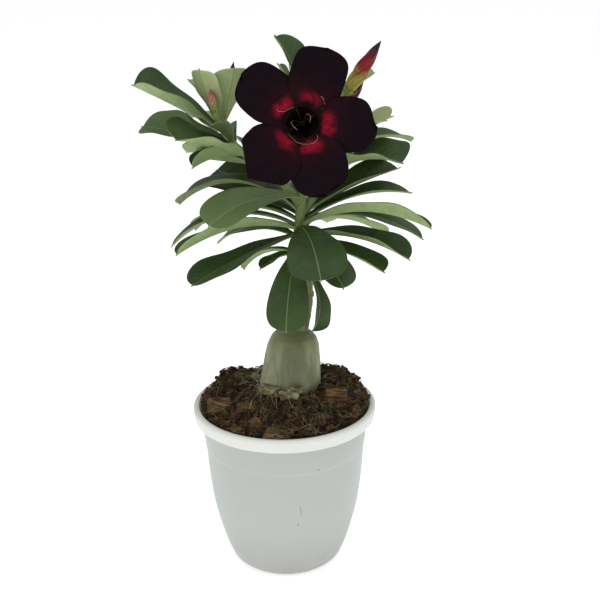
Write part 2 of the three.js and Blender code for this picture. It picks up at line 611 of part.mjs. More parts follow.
// Share of a curve that lies the given distance past a share of it.
const past = (curve, at, distance) =>
  at + distance / (curve.getPoint(at + 0.01).distanceTo(curve.getPoint(at)) / 0.01);

function scionTrunk() {
  const collar = solidOf(stem(mainCurve, 0, COLLAR.to, STEM.foot + COLLAR.flare, STEM.foot, 2, 12));
  const wood = solidOf(stem(mainCurve, 0, WOOD_END, STEM.foot, STEM.wood, 7, 12));
  const scar = new THREE.CylinderGeometry(SCAR.top, SCAR.foot, SCAR.length, 10);
  scar.rotateZ(-Math.PI / 2);
  const at = mainCurve.getPoint(SCAR.at);
  const place = new THREE.Matrix4().makeTranslation(at.x + SCAR.x, at.y + SCAR.y, at.z);
  // The trunk stands on the flat top of the caudex.
  const top = CAUDEX_SIDE.at(-1)[0] + GAP;
  const body = joined([collar, wood, solidOf(scar, place)]).trimByPlane([0, 0, 1], top);
  return piece("scion_trunk", body, COLOURS.wood, 0.8);
}

function shootCentre() {
  const start = past(mainCurve, WOOD_END, GAP);
  const throatToCalyx = new THREE.Matrix4().makeTranslation(0, 0, TUBE_SIDE[0][0]);
  const flowerFoot = flower.matrixWorld.clone().multiply(throatToCalyx);
  const parts = [
    solidOf(stem(mainCurve, start, 1, STEM.wood, STEM.tip, 14)),
    solidOf(stem(leftCurve, 0, LEFT_STUB, STEM.green, STEM.green - 0.2, 2)),
    solidOf(stem(rightCurve, 0, RIGHT_STUB, STEM.green, STEM.green - 0.2, 2)),
    ...[...MAIN_LEAVES, ...backRows(MAIN_BACK)].map((row) => leaf(mainCurve, row)),
    calyx(CALYX, flowerFoot),
    stalk(MAIN_STEM.at(-1), flowerFoot, CALYX.depth),
  ];
  for (const name of ["bud_large", "bud_small"]) {
    const frame = budFrame(BUDS[name]);
    parts.push(budCalyx(BUDS[name], frame), stalk(BUDS[name].stalkFrom, frame, BUD_CALYX.depth));
  }
  return piece("shoot_centre", joined(parts), COLOURS.leaf, 0.5);
}

function shootLeft() {
  const start = past(leftCurve, LEFT_STUB, GAP);
  const parts = [
    solidOf(stem(leftCurve, start, 1, STEM.green - 0.2, STEM.tip, 8)),
    ...[...LEFT_LEAVES, ...backRows(LEFT_BACK)].map((row) => leaf(leftCurve, row)),
  ];
  for (const name of ["bud_left_front", "bud_left_back"]) {
    const frame = budFrame(BUDS[name]);
    parts.push(budCalyx(BUDS[name], frame), stalk(BUDS[name].stalkFrom, frame, BUD_CALYX.depth));
  }
  return piece("shoot_left", joined(parts), COLOURS.leaf, 0.5);
}

function shootRight() {
  const start = past(rightCurve, RIGHT_STUB, GAP);
  const parts = [
    solidOf(stem(rightCurve, start, 1, STEM.green - 0.2, STEM.tip, 6)),
    ...[...RIGHT_LEAVES, ...backRows(RIGHT_BACK)].map((row) => leaf(rightCurve, row)),
  ];
  return piece("shoot_right", joined(parts), COLOURS.leaf, 0.5);
}

// ---- The plant in its pot ----

const plant = new THREE.Group();
plant.add(pot(), pottingMix());
plant.add(piece("caudex", solidOf(loft(caudexRings(0))), COLOURS.caudex, 0.75));
plant.add(scionTrunk(), shootCentre(), shootLeft(), shootRight());
flower.add(corolla(), antherCone());
plant.add(flower);
plant.add(bud("bud_large", BUDS.bud_large, COLOURS.budRed));
plant.add(bud("bud_small", BUDS.bud_small, COLOURS.budRed));
plant.add(bud("bud_left_front", BUDS.bud_left_front, COLOURS.budPink));
plant.add(bud("bud_left_back", BUDS.bud_left_back, COLOURS.budPink));

export default plant;
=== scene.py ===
"""A grafted desert rose in its nursery pot: the looks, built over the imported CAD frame.

The tables below are in millimetres and degrees, in the part's own frame: +Z up, front toward
-Y, origin in the middle of the pot's underside. The meshes are made in metres.
"""

import math
from functools import partial

import bpy
import numpy as np
from mathutils import Matrix, Vector


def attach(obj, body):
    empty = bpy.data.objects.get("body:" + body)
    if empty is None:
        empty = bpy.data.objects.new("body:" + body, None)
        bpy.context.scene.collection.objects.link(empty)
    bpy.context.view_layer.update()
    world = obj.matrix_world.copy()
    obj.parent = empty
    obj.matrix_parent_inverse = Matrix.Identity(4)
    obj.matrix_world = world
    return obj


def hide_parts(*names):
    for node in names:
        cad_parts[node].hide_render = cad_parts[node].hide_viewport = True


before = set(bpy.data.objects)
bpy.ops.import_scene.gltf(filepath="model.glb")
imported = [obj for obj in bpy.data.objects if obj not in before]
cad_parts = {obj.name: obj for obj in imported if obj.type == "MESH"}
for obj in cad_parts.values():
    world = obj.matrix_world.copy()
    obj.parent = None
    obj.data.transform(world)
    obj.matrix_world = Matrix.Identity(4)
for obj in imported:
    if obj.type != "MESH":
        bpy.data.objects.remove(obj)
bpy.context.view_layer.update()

bl_info = {
    "name": "Potted desert rose",
    "version": (1, 0, 0),
    "blender": (4, 5, 0),
    "location": "3D View > Sidebar > Desert rose",
    "description": "Builds a potted desert rose with its leaves, flower and potting mix",
    "category": "Add Mesh",
}

MM = 0.001
BODY = "root"

# ---- Sizes shared with the CAD part ----

POT_HEIGHT, RIM_RADIUS, POT_WALL, POT_FLOOR = 112, 60, 1.7, 2.4
POT_FOOT = [(0, 0), (27, 0), (33, 0.9), (36.8, 4.4)]  # radius and height
# Height and radius of the bowed wall.
POT_LOWER = [(12, 40), (25, 44), (43, 48.2), (62, 50.6), (84, 52.3)]
POT_UPPER = [(85.5, 52.8), (103, 54.8)]  # above its faint step
# The rim band round its rolled top: how far inside the rim radius, and how far below the top.
POT_RIM = [(1.6, 8.8), (0.8, 8), (0, 1.6), (1.2, 0), (3.8, 0.2), (4.7, 1.8)]
POT_WELL = [(0, 2.4), (26, 2.4), (31.6, 3.1), (35, 6), (38.2, 12.4)]
DRAIN_COUNT, DRAIN_RADIUS, DRAIN_RING = 6, 3, 20
# Marks on the front of the wall: x, height, half width, half height, lean, strength.
SCUFFS = [
    (21.4, 86.5, 1.3, 0.8, 20, 0.5), (9.8, 58.2, 0.45, 5.6, -7.7, 0.5), (8, 47.4, 0.8, 1.1, 0, 0.6),
]
SCUFF_DEPTH = 1e6  # so deep that a mark is the same all through the wall

MIX_RIM_HEIGHT, MOUND_HEIGHT, MOUND_REACH, MOUND_FLAT = 110, 15, 24, 20
MIX_EDGE = (55, 110.6)  # radius and height of the bed where it meets the rim
# Heaps of mix: x, y, rise, reach.
HEAPS = [
    (-38, 30, 9, 15), (37, 27, 6, 15), (-2, 42, 4, 16),
    (-46, 6, 4, 11), (20, -34, 1, 12), (44, -6, 3, 9),
]
# Husk chips that show: x, y, length, width, thickness, turn, tilt, lightness.
CHIPS_SEEN = [
    (33, -21, 13, 14, 6, 8, 64, 0.85), (-42, -14, 15, 11.5, 6, 4, 58, 1.1),
    (-24, -26, 12, 8, 5, -6, 30, 0.6), (-3, -50.5, 17, 9, 4, -10, 22, 0.95),
    (30, 9, 13, 9, 5, 70, 15, 0.6), (-33, -38, 12, 6, 4, -35, 15, 0.8),
    (24, -38, 9, 6, 4, 30, 20, 0.6), (46, -22, 9, 6, 4, 60, 25, 0.7), (-50, 6, 10, 7, 4, 80, 30, 0.7),
]
# The other chips of the CAD part: their number, and how near to the pot's axis and how far they lie.
MORE_CHIPS, CHIPS_FROM, CHIPS_TO, MORE_LIGHT = 14, 27, 50, 0.65
SEEN_SINK, MORE_SINK = 0.25, 0.1  # how far a chip is sunk, as a share of its thickness
# Rings of the bed: radius from and to, and their number, fine in sight and coarse under the caudex.
BED_RINGS = ((54.4, 20, 88), (18.5, 0.5, 8))
MOSS = [(45, 2), (24, -30)]  # the two mossy places on the mix
GOLDEN_ANGLE = 137.5

CAUDEX_X, CAUDEX_Y, CAUDEX_LEAN = 6.4, 0, 0.075
CAUDEX_SIDE = [
    (50, 8), (62, 15), (84, 19), (104, 20.4), (113, 20.1), (119, 19.6), (126, 19.4),
    (136, 18.7), (147, 17.4), (155, 15.6), (159.5, 12.9), (162, 9), (163, 5),
]
# Rings of the caudex: height from and to, and their number, coarse where the mix hides them.
CAUDEX_RINGS = ((50, 100, 12), (102, 158, 90), (158.5, 163, 12))
# Root swellings at soil level: bearing, height, how far they stand out.
ROOT_BUMPS = [(-72, 125, 2.4), (-150, 124, 2.2), (160, 124, 2.4), (20, 121, 1.2), (95, 124, 2.4)]

MAIN_STEM = [
    (11, 0, 161.3), (15, 0, 178), (15.5, 0, 200), (11, -1, 222), (12, -2, 240), (15, 0, 262),
    (19, 5, 284), (19, 6, 293),
]
LEFT_SHOOT = [(12, -2, 246), (1, 1, 258), (-14, 5, 270), (-28, 8, 281), (-36, 9, 292)]
RIGHT_SHOOT = [(13, -1, 240), (24, 9, 252), (33, 14, 264), (38, 16, 274)]
# Where the bark ends and the green starts along the main stem, with a short overlap.
WOOD_END, GREEN_START = 0.262, 0.258

# Leaves, one row each: place on the shoot (0 foot, 1 tip), azimuth (0 right, 90 away, -90 to
# the front), rise at the stem, droop over the blade, length, width, fold about the midrib, roll.
MAIN_LEAVES = [
    (0.49, -77, 21, 75, 62, 36, 12, 6), (0.407, -101, -3, 75, 66, 27, 15, 0),
    (0.31, -45, -35, 95, 47, 18, 30, 0), (0.4, -62, 17, 59, 57, 24, 20, 0),
    (0.463, -144, -4, 18, 80, 32, 14, 0), (0.486, -146, 24, 49, 88, 22, 35, 25),
    (0.5, -176, 33, 80, 86, 20, 18, 0), (0.634, -141, 21, 50, 72, 31, 12, -20),
    (0.56, 141, 27, 23, 72, 42, 12, -22), (0.57, 167, 49, 94, 87, 32, 20, 0),
    (0.53, 160, 29, 76, 77, 24, 30, 0), (0.36, 156, 22, 80, 47, 12, 30, 0),
    (0.37, -154, 16, 54, 30, 13, 20, 0), (0.44, 150, 24, 67, 63, 24, 12, -10),
    (0.497, -34, 34, 52, 95, 19, 38, -28), (0.53, 7, 18, 58, 83, 23, 12, 8),
    (0.52, 27, 11, 51, 65, 22, 30, 0), (0.451, -26, 17, 44, 75, 23, 42, 2),
    (0.43, -34, 3, 26, 62, 24, 30, 0), (0.56, 30, 24, 17, 76, 28, 35, 0),
    (0.52, 21, 32, 47, 79, 24, 22, 0), (0.9, 33, 52, 35, 58, 13, 20, -50),
    (0.9, 154, 87, 38, 63, 28, 30, 0), (0.93, 105, 62, 24, 50, 15, 30, 0),
    (0.86, 176, 75, 16, 49, 22, 20, 0),
]
LEFT_LEAVES = [
    (0.92, -168, 34, 8, 62, 41, 38, -4), (0.82, 165, 8, 4, 57, 38, 18, -14),
    (0.55, -138, 30, 21, 60, 46, 24, -8), (0.75, -118, 44, 27, 33, 22, 30, 0),
    (0.6, 139, 2, 14, 54, 20, 30, 25), (0.5, 143, -3, -1, 49, 18, 30, 25),
    (0.93, -130, 58, -12, 44, 23, 12, 0), (0.98, -57, 64, -2, 42, 24, 14, -5),
    (0.86, 150, 66, 31, 43, 9, 30, 0), (0.6, -160, 18, 50, 36, 22, 52, 12),
]
RIGHT_LEAVES = [
    (0.4, -30, 54, 69, 61, 44, 28, 0), (0.6, 20, 59, 86, 62, 24, 20, 0),
    (0.85, 6, 57, 40, 43, 21, 25, 8), (0.95, -34, 80, 86, 44, 32, 12, 10),
]
# Painted sheen: how far the upper face of a leaf is paled toward grey-green, by its row, where this stands
# for the glare of the light on it.
MAIN_SHEEN, LEFT_SHEEN = {7: 0.85}, {1: 0.5}
# Leaves at the back: count, shoot share from and to, bearing from and to, length, width.
MAIN_BACK = (5, 0.44, 0.72, 74, 112, 74, 26)
LEFT_BACK = (3, 0.62, 0.95, 88, 140, 52, 22)
RIGHT_BACK = (3, 0.62, 0.97, 50, 125, 50, 22)

FLOWER_PLACE, FLOWER_TURN = (14, -45, 304), 79.5
THROAT = 10.2  # radius of the tube's mouth
PETAL_FOOT, PETAL_LAP = 8.2, 0.9  # half a petal's width at its foot, and its start inside the mouth
PETAL_SLANT = 9  # how far a petal leans over its neighbour
# Petals: bearing, reach, width, how far the corners fall short of the middle, how far the end
# leans to one side, how square the end is, and how bright its flush is.
PETALS = [
    (141.5, 44, 31, 0.6, -0.4, 6.5, 1),
    (71, 43.6, 31.5, 0.3, -0.6, 10, 0.55),
    (-3.5, 42.6, 31.5, 0.8, -0.9, 6.5, 0.95),
    (-71.5, 43.6, 34.7, 0.7, -0.6, 5.6, 0.8),
    (-136, 44.6, 36.3, 10, 0.05, 9, 0.6),
]
# The corolla's tube: height along the flower's axis and radius.
TUBE_SIDE = [(-40, 2.6), (-32, 2.9), (-26, 4.6), (-16, 7.6), (-8, 9.6), (-2.5, 10.9)]
CALYX = {"depth": 6, "radius": 3.4, "sepals": 5, "length": 8, "width": 4.2, "thick": 0.8}
STALK_RADIUS = 1.3
# The five anther tails, from the cone out over the mouth of the throat, in the flower's own frame.
TAILS = [
    [(-0.8, 1, -12), (-2.4, 5.4, -7), (-4.4, 8.8, -3), (-7.4, 7.6, -1.6), (-10.6, 6.2, -1),
     (-13, 6.5, -0.2), (-14.6, 7.3, 0.6)],
    [(-1, -0.6, -12), (-5.4, -2.8, -7), (-8.4, -5.6, -2.8), (-6.4, -8.4, -1.8), (-2.6, -11.2, -0.8),
     (1.8, -12.2, -0.8), (6.2, -11.6, -1), (8.1, -9.8, -1.2), (8.2, -7.2, -1.6)],
    [(1, 0.6, -12), (5.4, 3.6, -7), (9.6, 6.4, -2.6), (12, 8.4, -0.9), (12.4, 11, -0.3),
     (11.4, 13.2, 0.2), (10, 14.6, 0.6)],
    [(-1, 0.2, -12), (-4.6, 1, -8), (-6.4, 0.4, -5), (-5.9, -1.2, -3.6), (-4.6, -2.8, -3.4),
     (-3.2, -4.2, -3.8)],
    [(0.6, 1, -12), (1.6, 3.6, -8), (2.6, 5, -5), (3.8, 4, -3.8), (4.4, 2.2, -3.8), (4.1, 0, -4.2)],
]
# The anther cone: height along the flower's axis and radius.
ANTHER_SIDE = [(-36.5, 1.3), (-28.5, 1.5), (-21.5, 2.3), (-15, 1.7), (-11, 0.5)]
# Buds: foot, tip, greatest radius, where the stalk leaves the shoot, sepals.
BUDS = {
    "bud_large": ((41.5, -7, 316), (60, -12, 344.7), 5, (20, 5, 288), 5),
    "bud_small": ((38.8, 3, 303), (51, 0, 321.6), 4.1, (19.5, 6, 286), 5),
    "bud_left_front": ((-38.7, -6, 306.5), (-40.2, -8, 317.5), 2.6, (-36, 9, 290), 0),
    "bud_left_back": ((-31, 16, 315.5), (-27.2, 17, 330), 2.4, (-35, 9, 290), 0),
}
BUD_CALYX = {"depth": 4, "length": 4, "width": 2.6, "thick": 0.7}
BUD_PLEATS, BUD_TWIST = 5, 200  # number of pleats, and how far they wind

# ---- The camera, found from the ellipse of the pot's rim in the photo ----

CAMERA_PLACE = (11.10, -672.83, 419.73)
CAMERA_PITCH, CAMERA_ROLL, CAMERA_VIEW = 19.45, 0.78, 30


# ---- Numbers ----

RIPPLE_WAVES = 14
CORNER_POINTS = 5  # points on each eased corner of a profile
POLE = 0.01  # radius of the smallest ring of a turned shape


def linear(colour):
    """The linear RGBA of an sRGB hex value."""
    shares = [int(colour[i : i + 2], 16) / 255 for i in (0, 2, 4)]
    linear_shares = [c / 12.92 if c <= 0.04045 else ((c + 0.055) / 1.055) ** 2.4 for c in shares]
    return (*linear_shares, 1)


def draws(seed):
    """A repeatable run of draws between 0 and 1, the same as the CAD source makes."""
    state = seed
    while True:
        state = (state * 1664525 + 1013904223) % 4294967296
        yield state / 4294967296


def through(rows, at):
    """A smooth value through (position, value) rows: cubic pieces, each with the slopes that its end
    rows get from their neighbours."""
    place, value = np.array(rows, float).T
    slope = np.gradient(value, place)
    k = np.clip(np.searchsorted(place, at) - 1, 0, len(place) - 2)
    span = place[k + 1] - place[k]
    t = np.clip((at - place[k]) / span, 0, 1)
    start = (2 * t**3 - 3 * t**2 + 1) * value[k] + (t**3 - 2 * t**2 + t) * span * slope[k]
    return start + (3 * t**2 - 2 * t**3) * value[k + 1] + (t**3 - t**2) * span * slope[k + 1]


def spline(points, at):
    """Points on the Catmull-Rom curve through points, with its end points reflected; at runs 0 to 1."""
    points = np.array(points, float)
    spans = len(points) - 1
    place = np.clip(np.asarray(at, float), 0, 1) * spans
    i = np.minimum(place.astype(int), spans - 1)
    f = (place - i)[..., None]
    padded = np.vstack([2 * points[0] - points[1], points, 2 * points[-1] - points[-2]])
    a, b, c, d = (padded[i + k] for k in range(4))
    cubic = (2 * a - 5 * b + 4 * c - d) * f**2 + (3 * b - a - 3 * c + d) * f**3
    return 0.5 * (2 * b + (c - a) * f + cubic)


def ripples(points, size, seed):
    """Smooth noise, mostly between -1 and 1: the sum of sine waves in random directions, about size
    mm long, over the square root of their number."""
    rng = np.random.default_rng(seed)
    ways = rng.normal(size=(RIPPLE_WAVES, 3))
    pace = 2 * np.pi / size * rng.uniform(0.6, 1.5, (RIPPLE_WAVES, 1))
    ways *= pace / np.linalg.norm(ways, axis=1)[:, None]
    phases = rng.uniform(0, 2 * np.pi, RIPPLE_WAVES)
    return np.sin(points @ ways.T + phases).sum(-1) / np.sqrt(1.6 * RIPPLE_WAVES)


def unit(vectors):
    """Each vector, made 1 long."""
    return vectors / np.maximum(np.linalg.norm(vectors, axis=-1, keepdims=True), 1e-9)


def turn_about_z(degrees):
    """The matrix of a turn about Z."""
    c, s = math.cos(math.radians(degrees)), math.sin(math.radians(degrees))
    return np.array([[c, -s, 0], [s, c, 0], [0, 0, 1]])


def turn_about_x(degrees):
    """The matrix of a turn about X."""
    c, s = math.cos(math.radians(degrees)), math.sin(math.radians(degrees))
    return np.array([[1, 0, 0], [0, c, -s], [0, s, c]])


def turn_about_y(degrees):
    """The matrix of a turn about Y."""
    c, s = math.cos(math.radians(degrees)), math.sin(math.radians(degrees))
    return np.array([[c, 0, s], [0, 1, 0], [-s, 0, c]])


# ---- Surfaces ----


def bearings(sides):
    """Even bearings round a ring, in radians."""
    return np.arange(sides) * 2 * np.pi / sides


def skin(rings, **data):
    """Closed skins over rings of points [body, ring, side, xyz]: quads between neighbouring rings, each
    ring counter-clockwise about the way they run, and a fan from the middle of each end ring. data
    holds a value or a vector for each point."""
    bodies, count, sides = rings.shape[:3]
    ids = np.arange(count * sides).reshape(count, sides)
    turned = np.roll(ids, -1, axis=1)
    quads = np.stack([ids[:-1], turned[:-1], turned[1:], ids[1:]], -1).reshape(-1, 4)
    middle = np.full(sides, count * sides)
    foot = np.stack([middle, turned[0], ids[0]], -1)
    head = np.stack([middle + 1, ids[-1], turned[-1]], -1)
    shift = (np.arange(bodies) * (count * sides + 2))[:, None, None]

    def flat(values):
        """The rows of every body in turn: those of its rings, then the middles of its two end rings."""
        width = values[0, 0, 0].size
        values = np.broadcast_to(values.reshape(*values.shape[:3], width), (bodies, count, sides, width))
        body = values.reshape(bodies, count * sides, width)
        ends = values[:, [0, -1]].mean(axis=2)
        return np.concatenate([body, ends], 1).reshape(-1, width)

    return {
        "points": flat(rings),
        "quads": (quads + shift).reshape(-1, 4),
        "fans": (np.concatenate([foot, head]) + shift).reshape(-1, 3),
        "data": {key: flat(np.asarray(value)) for key, value in data.items()},
    }


def tube(path, radii, sides, reference=(1, 0, 0)):
    """Rings [body, ring, side, xyz] about paths [body, ring, xyz]: each point stands one radius off
    the path, square to it, at even angles that start at the side nearest the reference."""
    along = unit(np.gradient(path, axis=1))
    side = np.broadcast_to(np.array(reference, float), path.shape)
    side = unit(side - along * (side * along).sum(-1, keepdims=True))
    front = np.cross(along, side)
    angle = bearings(sides)
    radii = np.broadcast_to(radii, path.shape[:2] if np.ndim(radii) < 3 else path.shape[:2] + (sides,))
    radii = radii[..., None] if radii.ndim == 2 else radii
    ring = side[:, :, None] * np.cos(angle)[:, None] + front[:, :, None] * np.sin(angle)[:, None]
    return path[:, :, None] + ring * radii[..., None]


def lathe(profile, sides):
    """Rings [1, ring, side, xyz] of a profile of (radius, height) rows turned about Z."""
    radius, height = np.array(profile, float).T
    angle = bearings(sides)
    ring = np.stack([np.outer(radius, np.cos(angle)), np.outer(radius, np.sin(angle))], -1)
    tall = np.broadcast_to(height[:, None, None], ring.shape[:2] + (1,))
    return np.concatenate([ring, tall], -1)[None]


def rounded(points, cut):
    """A profile whose corners are eased: each becomes a parabola that starts and ends at most cut mm
    from it, and not quite halfway to its neighbours."""
    points = np.array(points, float)
    made = [points[:1]]
    t = np.linspace(0, 1, CORNER_POINTS)[:, None]
    for before, corner, after in zip(points, points[1:], points[2:]):
        sides = [(p - corner, np.linalg.norm(p - corner)) for p in (before, after)]
        start, end = (corner + way * ease_share(length, cut) for way, length in sides)
        made.append((1 - t) ** 2 * start + 2 * t * (1 - t) * corner + t**2 * end)
    return np.vstack([*made, points[-1:]])


def ease_share(length, cut):
    """The share of a side of this length that the easing of its corner takes."""
    full = cut / max(cut, 2.2 * length) if length < 2.2 * cut else cut / length
    return min(full, 0.45)


def make_piece(name, skins, material, replaces=(), smooth=True):
    """One mesh object from skins in millimetres, riding on the part's one body."""
    points, quads, fans = [], [], []
    start = 0
    for part in skins:
        points.append(part["points"])
        quads.append(part["quads"] + start)
        fans.append(part["fans"] + start)
        start += len(part["points"])
    mesh = bpy.data.meshes.new(name)
    faces = np.concatenate(quads).tolist() + np.concatenate(fans).tolist()
    mesh.from_pydata((np.concatenate(points) * MM).tolist(), [], faces)
    for key in skins[0]["data"]:
        values = np.concatenate([part["data"][key] for part in skins]).astype(np.float32)
        kind, field = ("FLOAT", "value") if values.shape[1] == 1 else ("FLOAT_VECTOR", "vector")
        mesh.attributes.new(key, kind, "POINT").data.foreach_set(field, values.ravel())
    mesh.polygons.foreach_set("use_smooth", np.full(len(faces), smooth))
    mesh.materials.append(material)
    mesh.update()
    made = bpy.data.objects.new(name, mesh)
    bpy.context.scene.collection.objects.link(made)
    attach(made, BODY)
    if replaces:
        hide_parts(*replaces)
    return made


# ---- Materials ----
#
# Patterns are laid on each object's own coordinates, in metres, or on values kept on its mesh, in
# millimetres. Lumps are given in millimetres.

SMOOTH = {"interpolation_type": "SMOOTHSTEP"}
RGBA = {"data_type": "RGBA"}
DARKEN = {"data_type": "RGBA", "blend_type": "MULTIPLY"}
SHARE, FIRST, SECOND, BLENDED = 0, 6, 7, 2  # the sockets of a Mix node that blends colours
XYZ = ("X", "Y", "Z")


def add_node(tree, kind, inputs=(), output=0, **settings):
    """Adds a shader node, sets its properties, and sets or links its inputs, given by name or number in a
    dictionary or else in order. Gives the output asked for, or a list where output is a tuple."""
    made = tree.nodes.new("ShaderNode" + kind)
    for key, value in settings.items():
        setattr(made, key, value)
    for key, value in inputs.items() if isinstance(inputs, dict) else enumerate(inputs):
        if isinstance(value, bpy.types.NodeSocket):
            tree.links.new(value, made.inputs[key])
        else:
            made.inputs[key].default_value = value
    if isinstance(output, tuple):
        return [made.outputs[key] for key in output]
    return made.outputs[output] if len(made.outputs) else None


def new_material(name):
    """A material with an empty tree, and add_node bound to that tree."""
    material = bpy.data.materials.new(name)
    material.use_nodes = True
    material.node_tree.nodes.clear()
    return material, partial(add_node, material.node_tree)


def lumps(size):
    """The scale of a noise whose lumps are about size millimetres across."""
    return 1 / (size * MM)


def pot_plastic(settings):
    """Injection-moulded white polypropylene: satin, greyer on the wall, partly where the thin wall lets the
    dark mix behind it show through and partly as painted shade on the upright sides; white at the hollow rim,
    partly as painted light from above; darker toward the foot as painted shade near the ground, with thin
    clouds of dust there, and scuffed by handling."""
    material, node = new_material("moulded_polypropylene")
    where = node("TexCoord", output="Object")
    _, depth, height = node("SeparateXYZ", [where], XYZ)
    cloud = node("TexNoise", {"Vector": where, "Scale": lumps(45)})
    # Painted light and shade: the rim band is whiter and the wall greyer, partly because the rim is hollow
    # and the dark mix lies behind the thin wall, partly as light from above on the rim and shade on the
    # upright wall.
    rim = node("MapRange", [height, 0.1028, 0.1042, 0, 1], **SMOOTH)
    colour = node("Mix", {SHARE: rim, FIRST: settings.colour, SECOND: settings.rim_lit_colour}, BLENDED, **RGBA)
    # Painted shade: the wall darkens toward the foot, as it would near the ground.
    low = node("MapRange", [height, 0, 0.05, 0.7, 0], **SMOOTH)
    colour = node("Mix", {SHARE: low, FIRST: colour, SECOND: settings.foot_shade_colour}, BLENDED, **RGBA)
    # Potting dust lies in thin clouds near the foot.
    haze = node("TexNoise", {"Vector": where, "Scale": lumps(12)})
    haze = node("MapRange", [haze, 0.4, 0.7, 0, 1], **SMOOTH)
    fading = node("MapRange", [height, 0, 0.03, 0.2, 0], **SMOOTH)
    dust = node("Math", [haze, fading], operation="MULTIPLY")
    colour = node("Mix", {SHARE: dust, FIRST: colour, SECOND: linear("8f8a7c")}, BLENDED, **RGBA)
    # The scratch and the two dark marks on the front have ragged edges.
    ragged = node("TexNoise", {"Vector": where, "Scale": lumps(1.2)})
    front = node("MapRange", [depth, -0.02, -0.01, 1, 0], **SMOOTH)
    for x, z, wide, tall, lean, strength in SCUFFS:
        size = (wide * MM, SCUFF_DEPTH * MM, tall * MM)
        turn = (0, math.radians(lean), 0)
        place = {"Vector": where, "Location": (x * MM, 0, z * MM), "Rotation": turn, "Scale": size}
        away = node("Mapping", place, vector_type="TEXTURE")
        away = node("VectorMath", [away], "Value", operation="LENGTH")
        away = node("Math", [away, ragged], operation="ADD")
        spot = node("MapRange", [away, 0.8, 1.6, strength, 0], **SMOOTH)
        spot = node("Math", [spot, front], operation="MULTIPLY")
        colour = node("Mix", {SHARE: spot, FIRST: colour, SECOND: linear("6d6f68")}, BLENDED, **RGBA)
    roughness = node("MapRange", [cloud, 0.3, 0.7, 0.36, 0.48])
    grain = node("TexNoise", {"Vector": where, "Scale": lumps(1.4), "Detail": 2})
    relief = node("Bump", {"Height": grain, "Distance": 0.00004, "Strength": 0.35})
    surface = node("BsdfPrincipled", {
        "Base Color": colour, "Roughness": roughness, "Normal": relief, "IOR": 1.49,
        "Subsurface Weight": 0.08, "Subsurface Radius": (0.004, 0.004, 0.004)})
    node("OutputMaterial", [surface])
    return material


def coir(name, grain_scale, groove_depth):
    """Damp coconut husk: rough and matt, darker where it is wet, with fibres that run along each piece's
    own length. Real fibres are 0.1 to 0.3 mm thick; they are drawn about three times coarser so that
    they show."""
    material, node = new_material(name)
    where = node("TexCoord", output="Object")
    colour = node("Attribute", output="Color", attribute_name="tone")
    wet = node("TexNoise", {"Vector": where, "Scale": lumps(7), "Detail": 3})
    wet = node("MapRange", [wet, 0.35, 0.7, 0, 1], **SMOOTH)
    colour = node("Mix", {SHARE: wet, FIRST: colour, SECOND: linear("a09080")}, BLENDED, **DARKEN)
    along, across, _ = node("SeparateXYZ", [node("Attribute", output="Vector", attribute_name="grain")], XYZ)
    drawn_out = node("Math", [along, 0.12], operation="MULTIPLY")
    place = node("CombineXYZ", [drawn_out, across])
    fibre = node("TexNoise", {"Vector": place, "Scale": grain_scale, "Detail": 4})
    streak = node("MapRange", [fibre, 0.38, 0.62, 0, 1], **SMOOTH)
    groove = node("Math", [streak, groove_depth], operation="MULTIPLY")
    colour = node("Mix", {SHARE: groove, FIRST: colour, SECOND: linear("584c42")}, BLENDED, **DARKEN)
    rough = node("TexNoise", {"Vector": where, "Scale": lumps(0.9), "Detail": 3})
    rough = node("Math", [streak, rough], operation="ADD")
    relief = node("Bump", {"Height": rough, "Distance": 0.0005, "Strength": 0.7})
    surface = node("BsdfPrincipled", {
        "Base Color": colour, "Roughness": 0.88, "Specular IOR Level": 0.25, "Normal": relief})
    node("OutputMaterial", [surface])
    return material


def caudex_bark(settings):
    """Smooth succulent bark: grey-green skin with fine pale upright stretch marks, greener toward the
    top, and a little corky brown where it meets the soil."""
    material, node = new_material("succulent_bark")
    where = node("TexCoord", output="Object")
    side, depth, height = node("SeparateXYZ", [where], XYZ)
    drawn = node("Mapping", {"Vector": where, "Scale": (1, 1, 0.1)})
    streak = node("TexNoise", {"Vector": drawn, "Scale": lumps(1.5), "Detail": 4})
    streak = node("MapRange", [streak, 0.35, 0.7, 0, 0.3], **SMOOTH)
    drawn = node("Mapping", {"Vector": where, "Scale": (1, 1, 0.45)})
    patch = node("TexNoise", {"Vector": drawn, "Scale": lumps(10)})
    patch = node("MapRange", [patch, 0.35, 0.7, 0, 1], **SMOOTH)
    # Painted shade: the front is darkened to a stripe between paler flanks, as light from the two sides
    # leaves it.
    off = node("Math", [side, CAUDEX_X * MM], operation="SUBTRACT")
    off = node("Math", [off], operation="ABSOLUTE")
    front_shade = node("MapRange", [off, 0.003, 0.013, 0.55, 0], **SMOOTH)
    front = node("MapRange", [depth, -0.012, -0.002, 1, 0], **SMOOTH)
    front_shade = node("Math", [front_shade, front], operation="MULTIPLY")
    cork = node("TexNoise", {"Vector": where, "Scale": lumps(4)})
    cork = node("MapRange", [cork, 0.4, 0.65, 0, 0.7], **SMOOTH)
    near_soil = node("MapRange", [height, 0.116, 0.132, 1, 0], **SMOOTH)
    cork = node("Math", [cork, near_soil], operation="MULTIPLY")
    top = node("MapRange", [height, 0.146, 0.163, 0, 0.5], **SMOOTH)
    fleck = node("TexNoise", {"Vector": where, "Scale": lumps(1), "Detail": 2})
    fleck = node("MapRange", [fleck, 0.66, 0.74, 0, 0.4], **SMOOTH)
    colour = settings.colour
    for share, paint in (
        (patch, "6b7150"), (streak, "97947c"), (front_shade, "54583c"),
        (cork, "6a5c46"), (top, "67704a"), (fleck, "56523e"),
    ):
        colour = node("Mix", {SHARE: share, FIRST: colour, SECOND: linear(paint)}, BLENDED, **RGBA)
    relief = node("Bump", {"Height": streak, "Distance": 0.0003, "Strength": 0.5})
    surface = node("BsdfPrincipled", {
        "Base Color": colour, "Roughness": 0.5, "Specular IOR Level": 0.4, "Normal": relief})
    node("OutputMaterial", [surface])
    return material


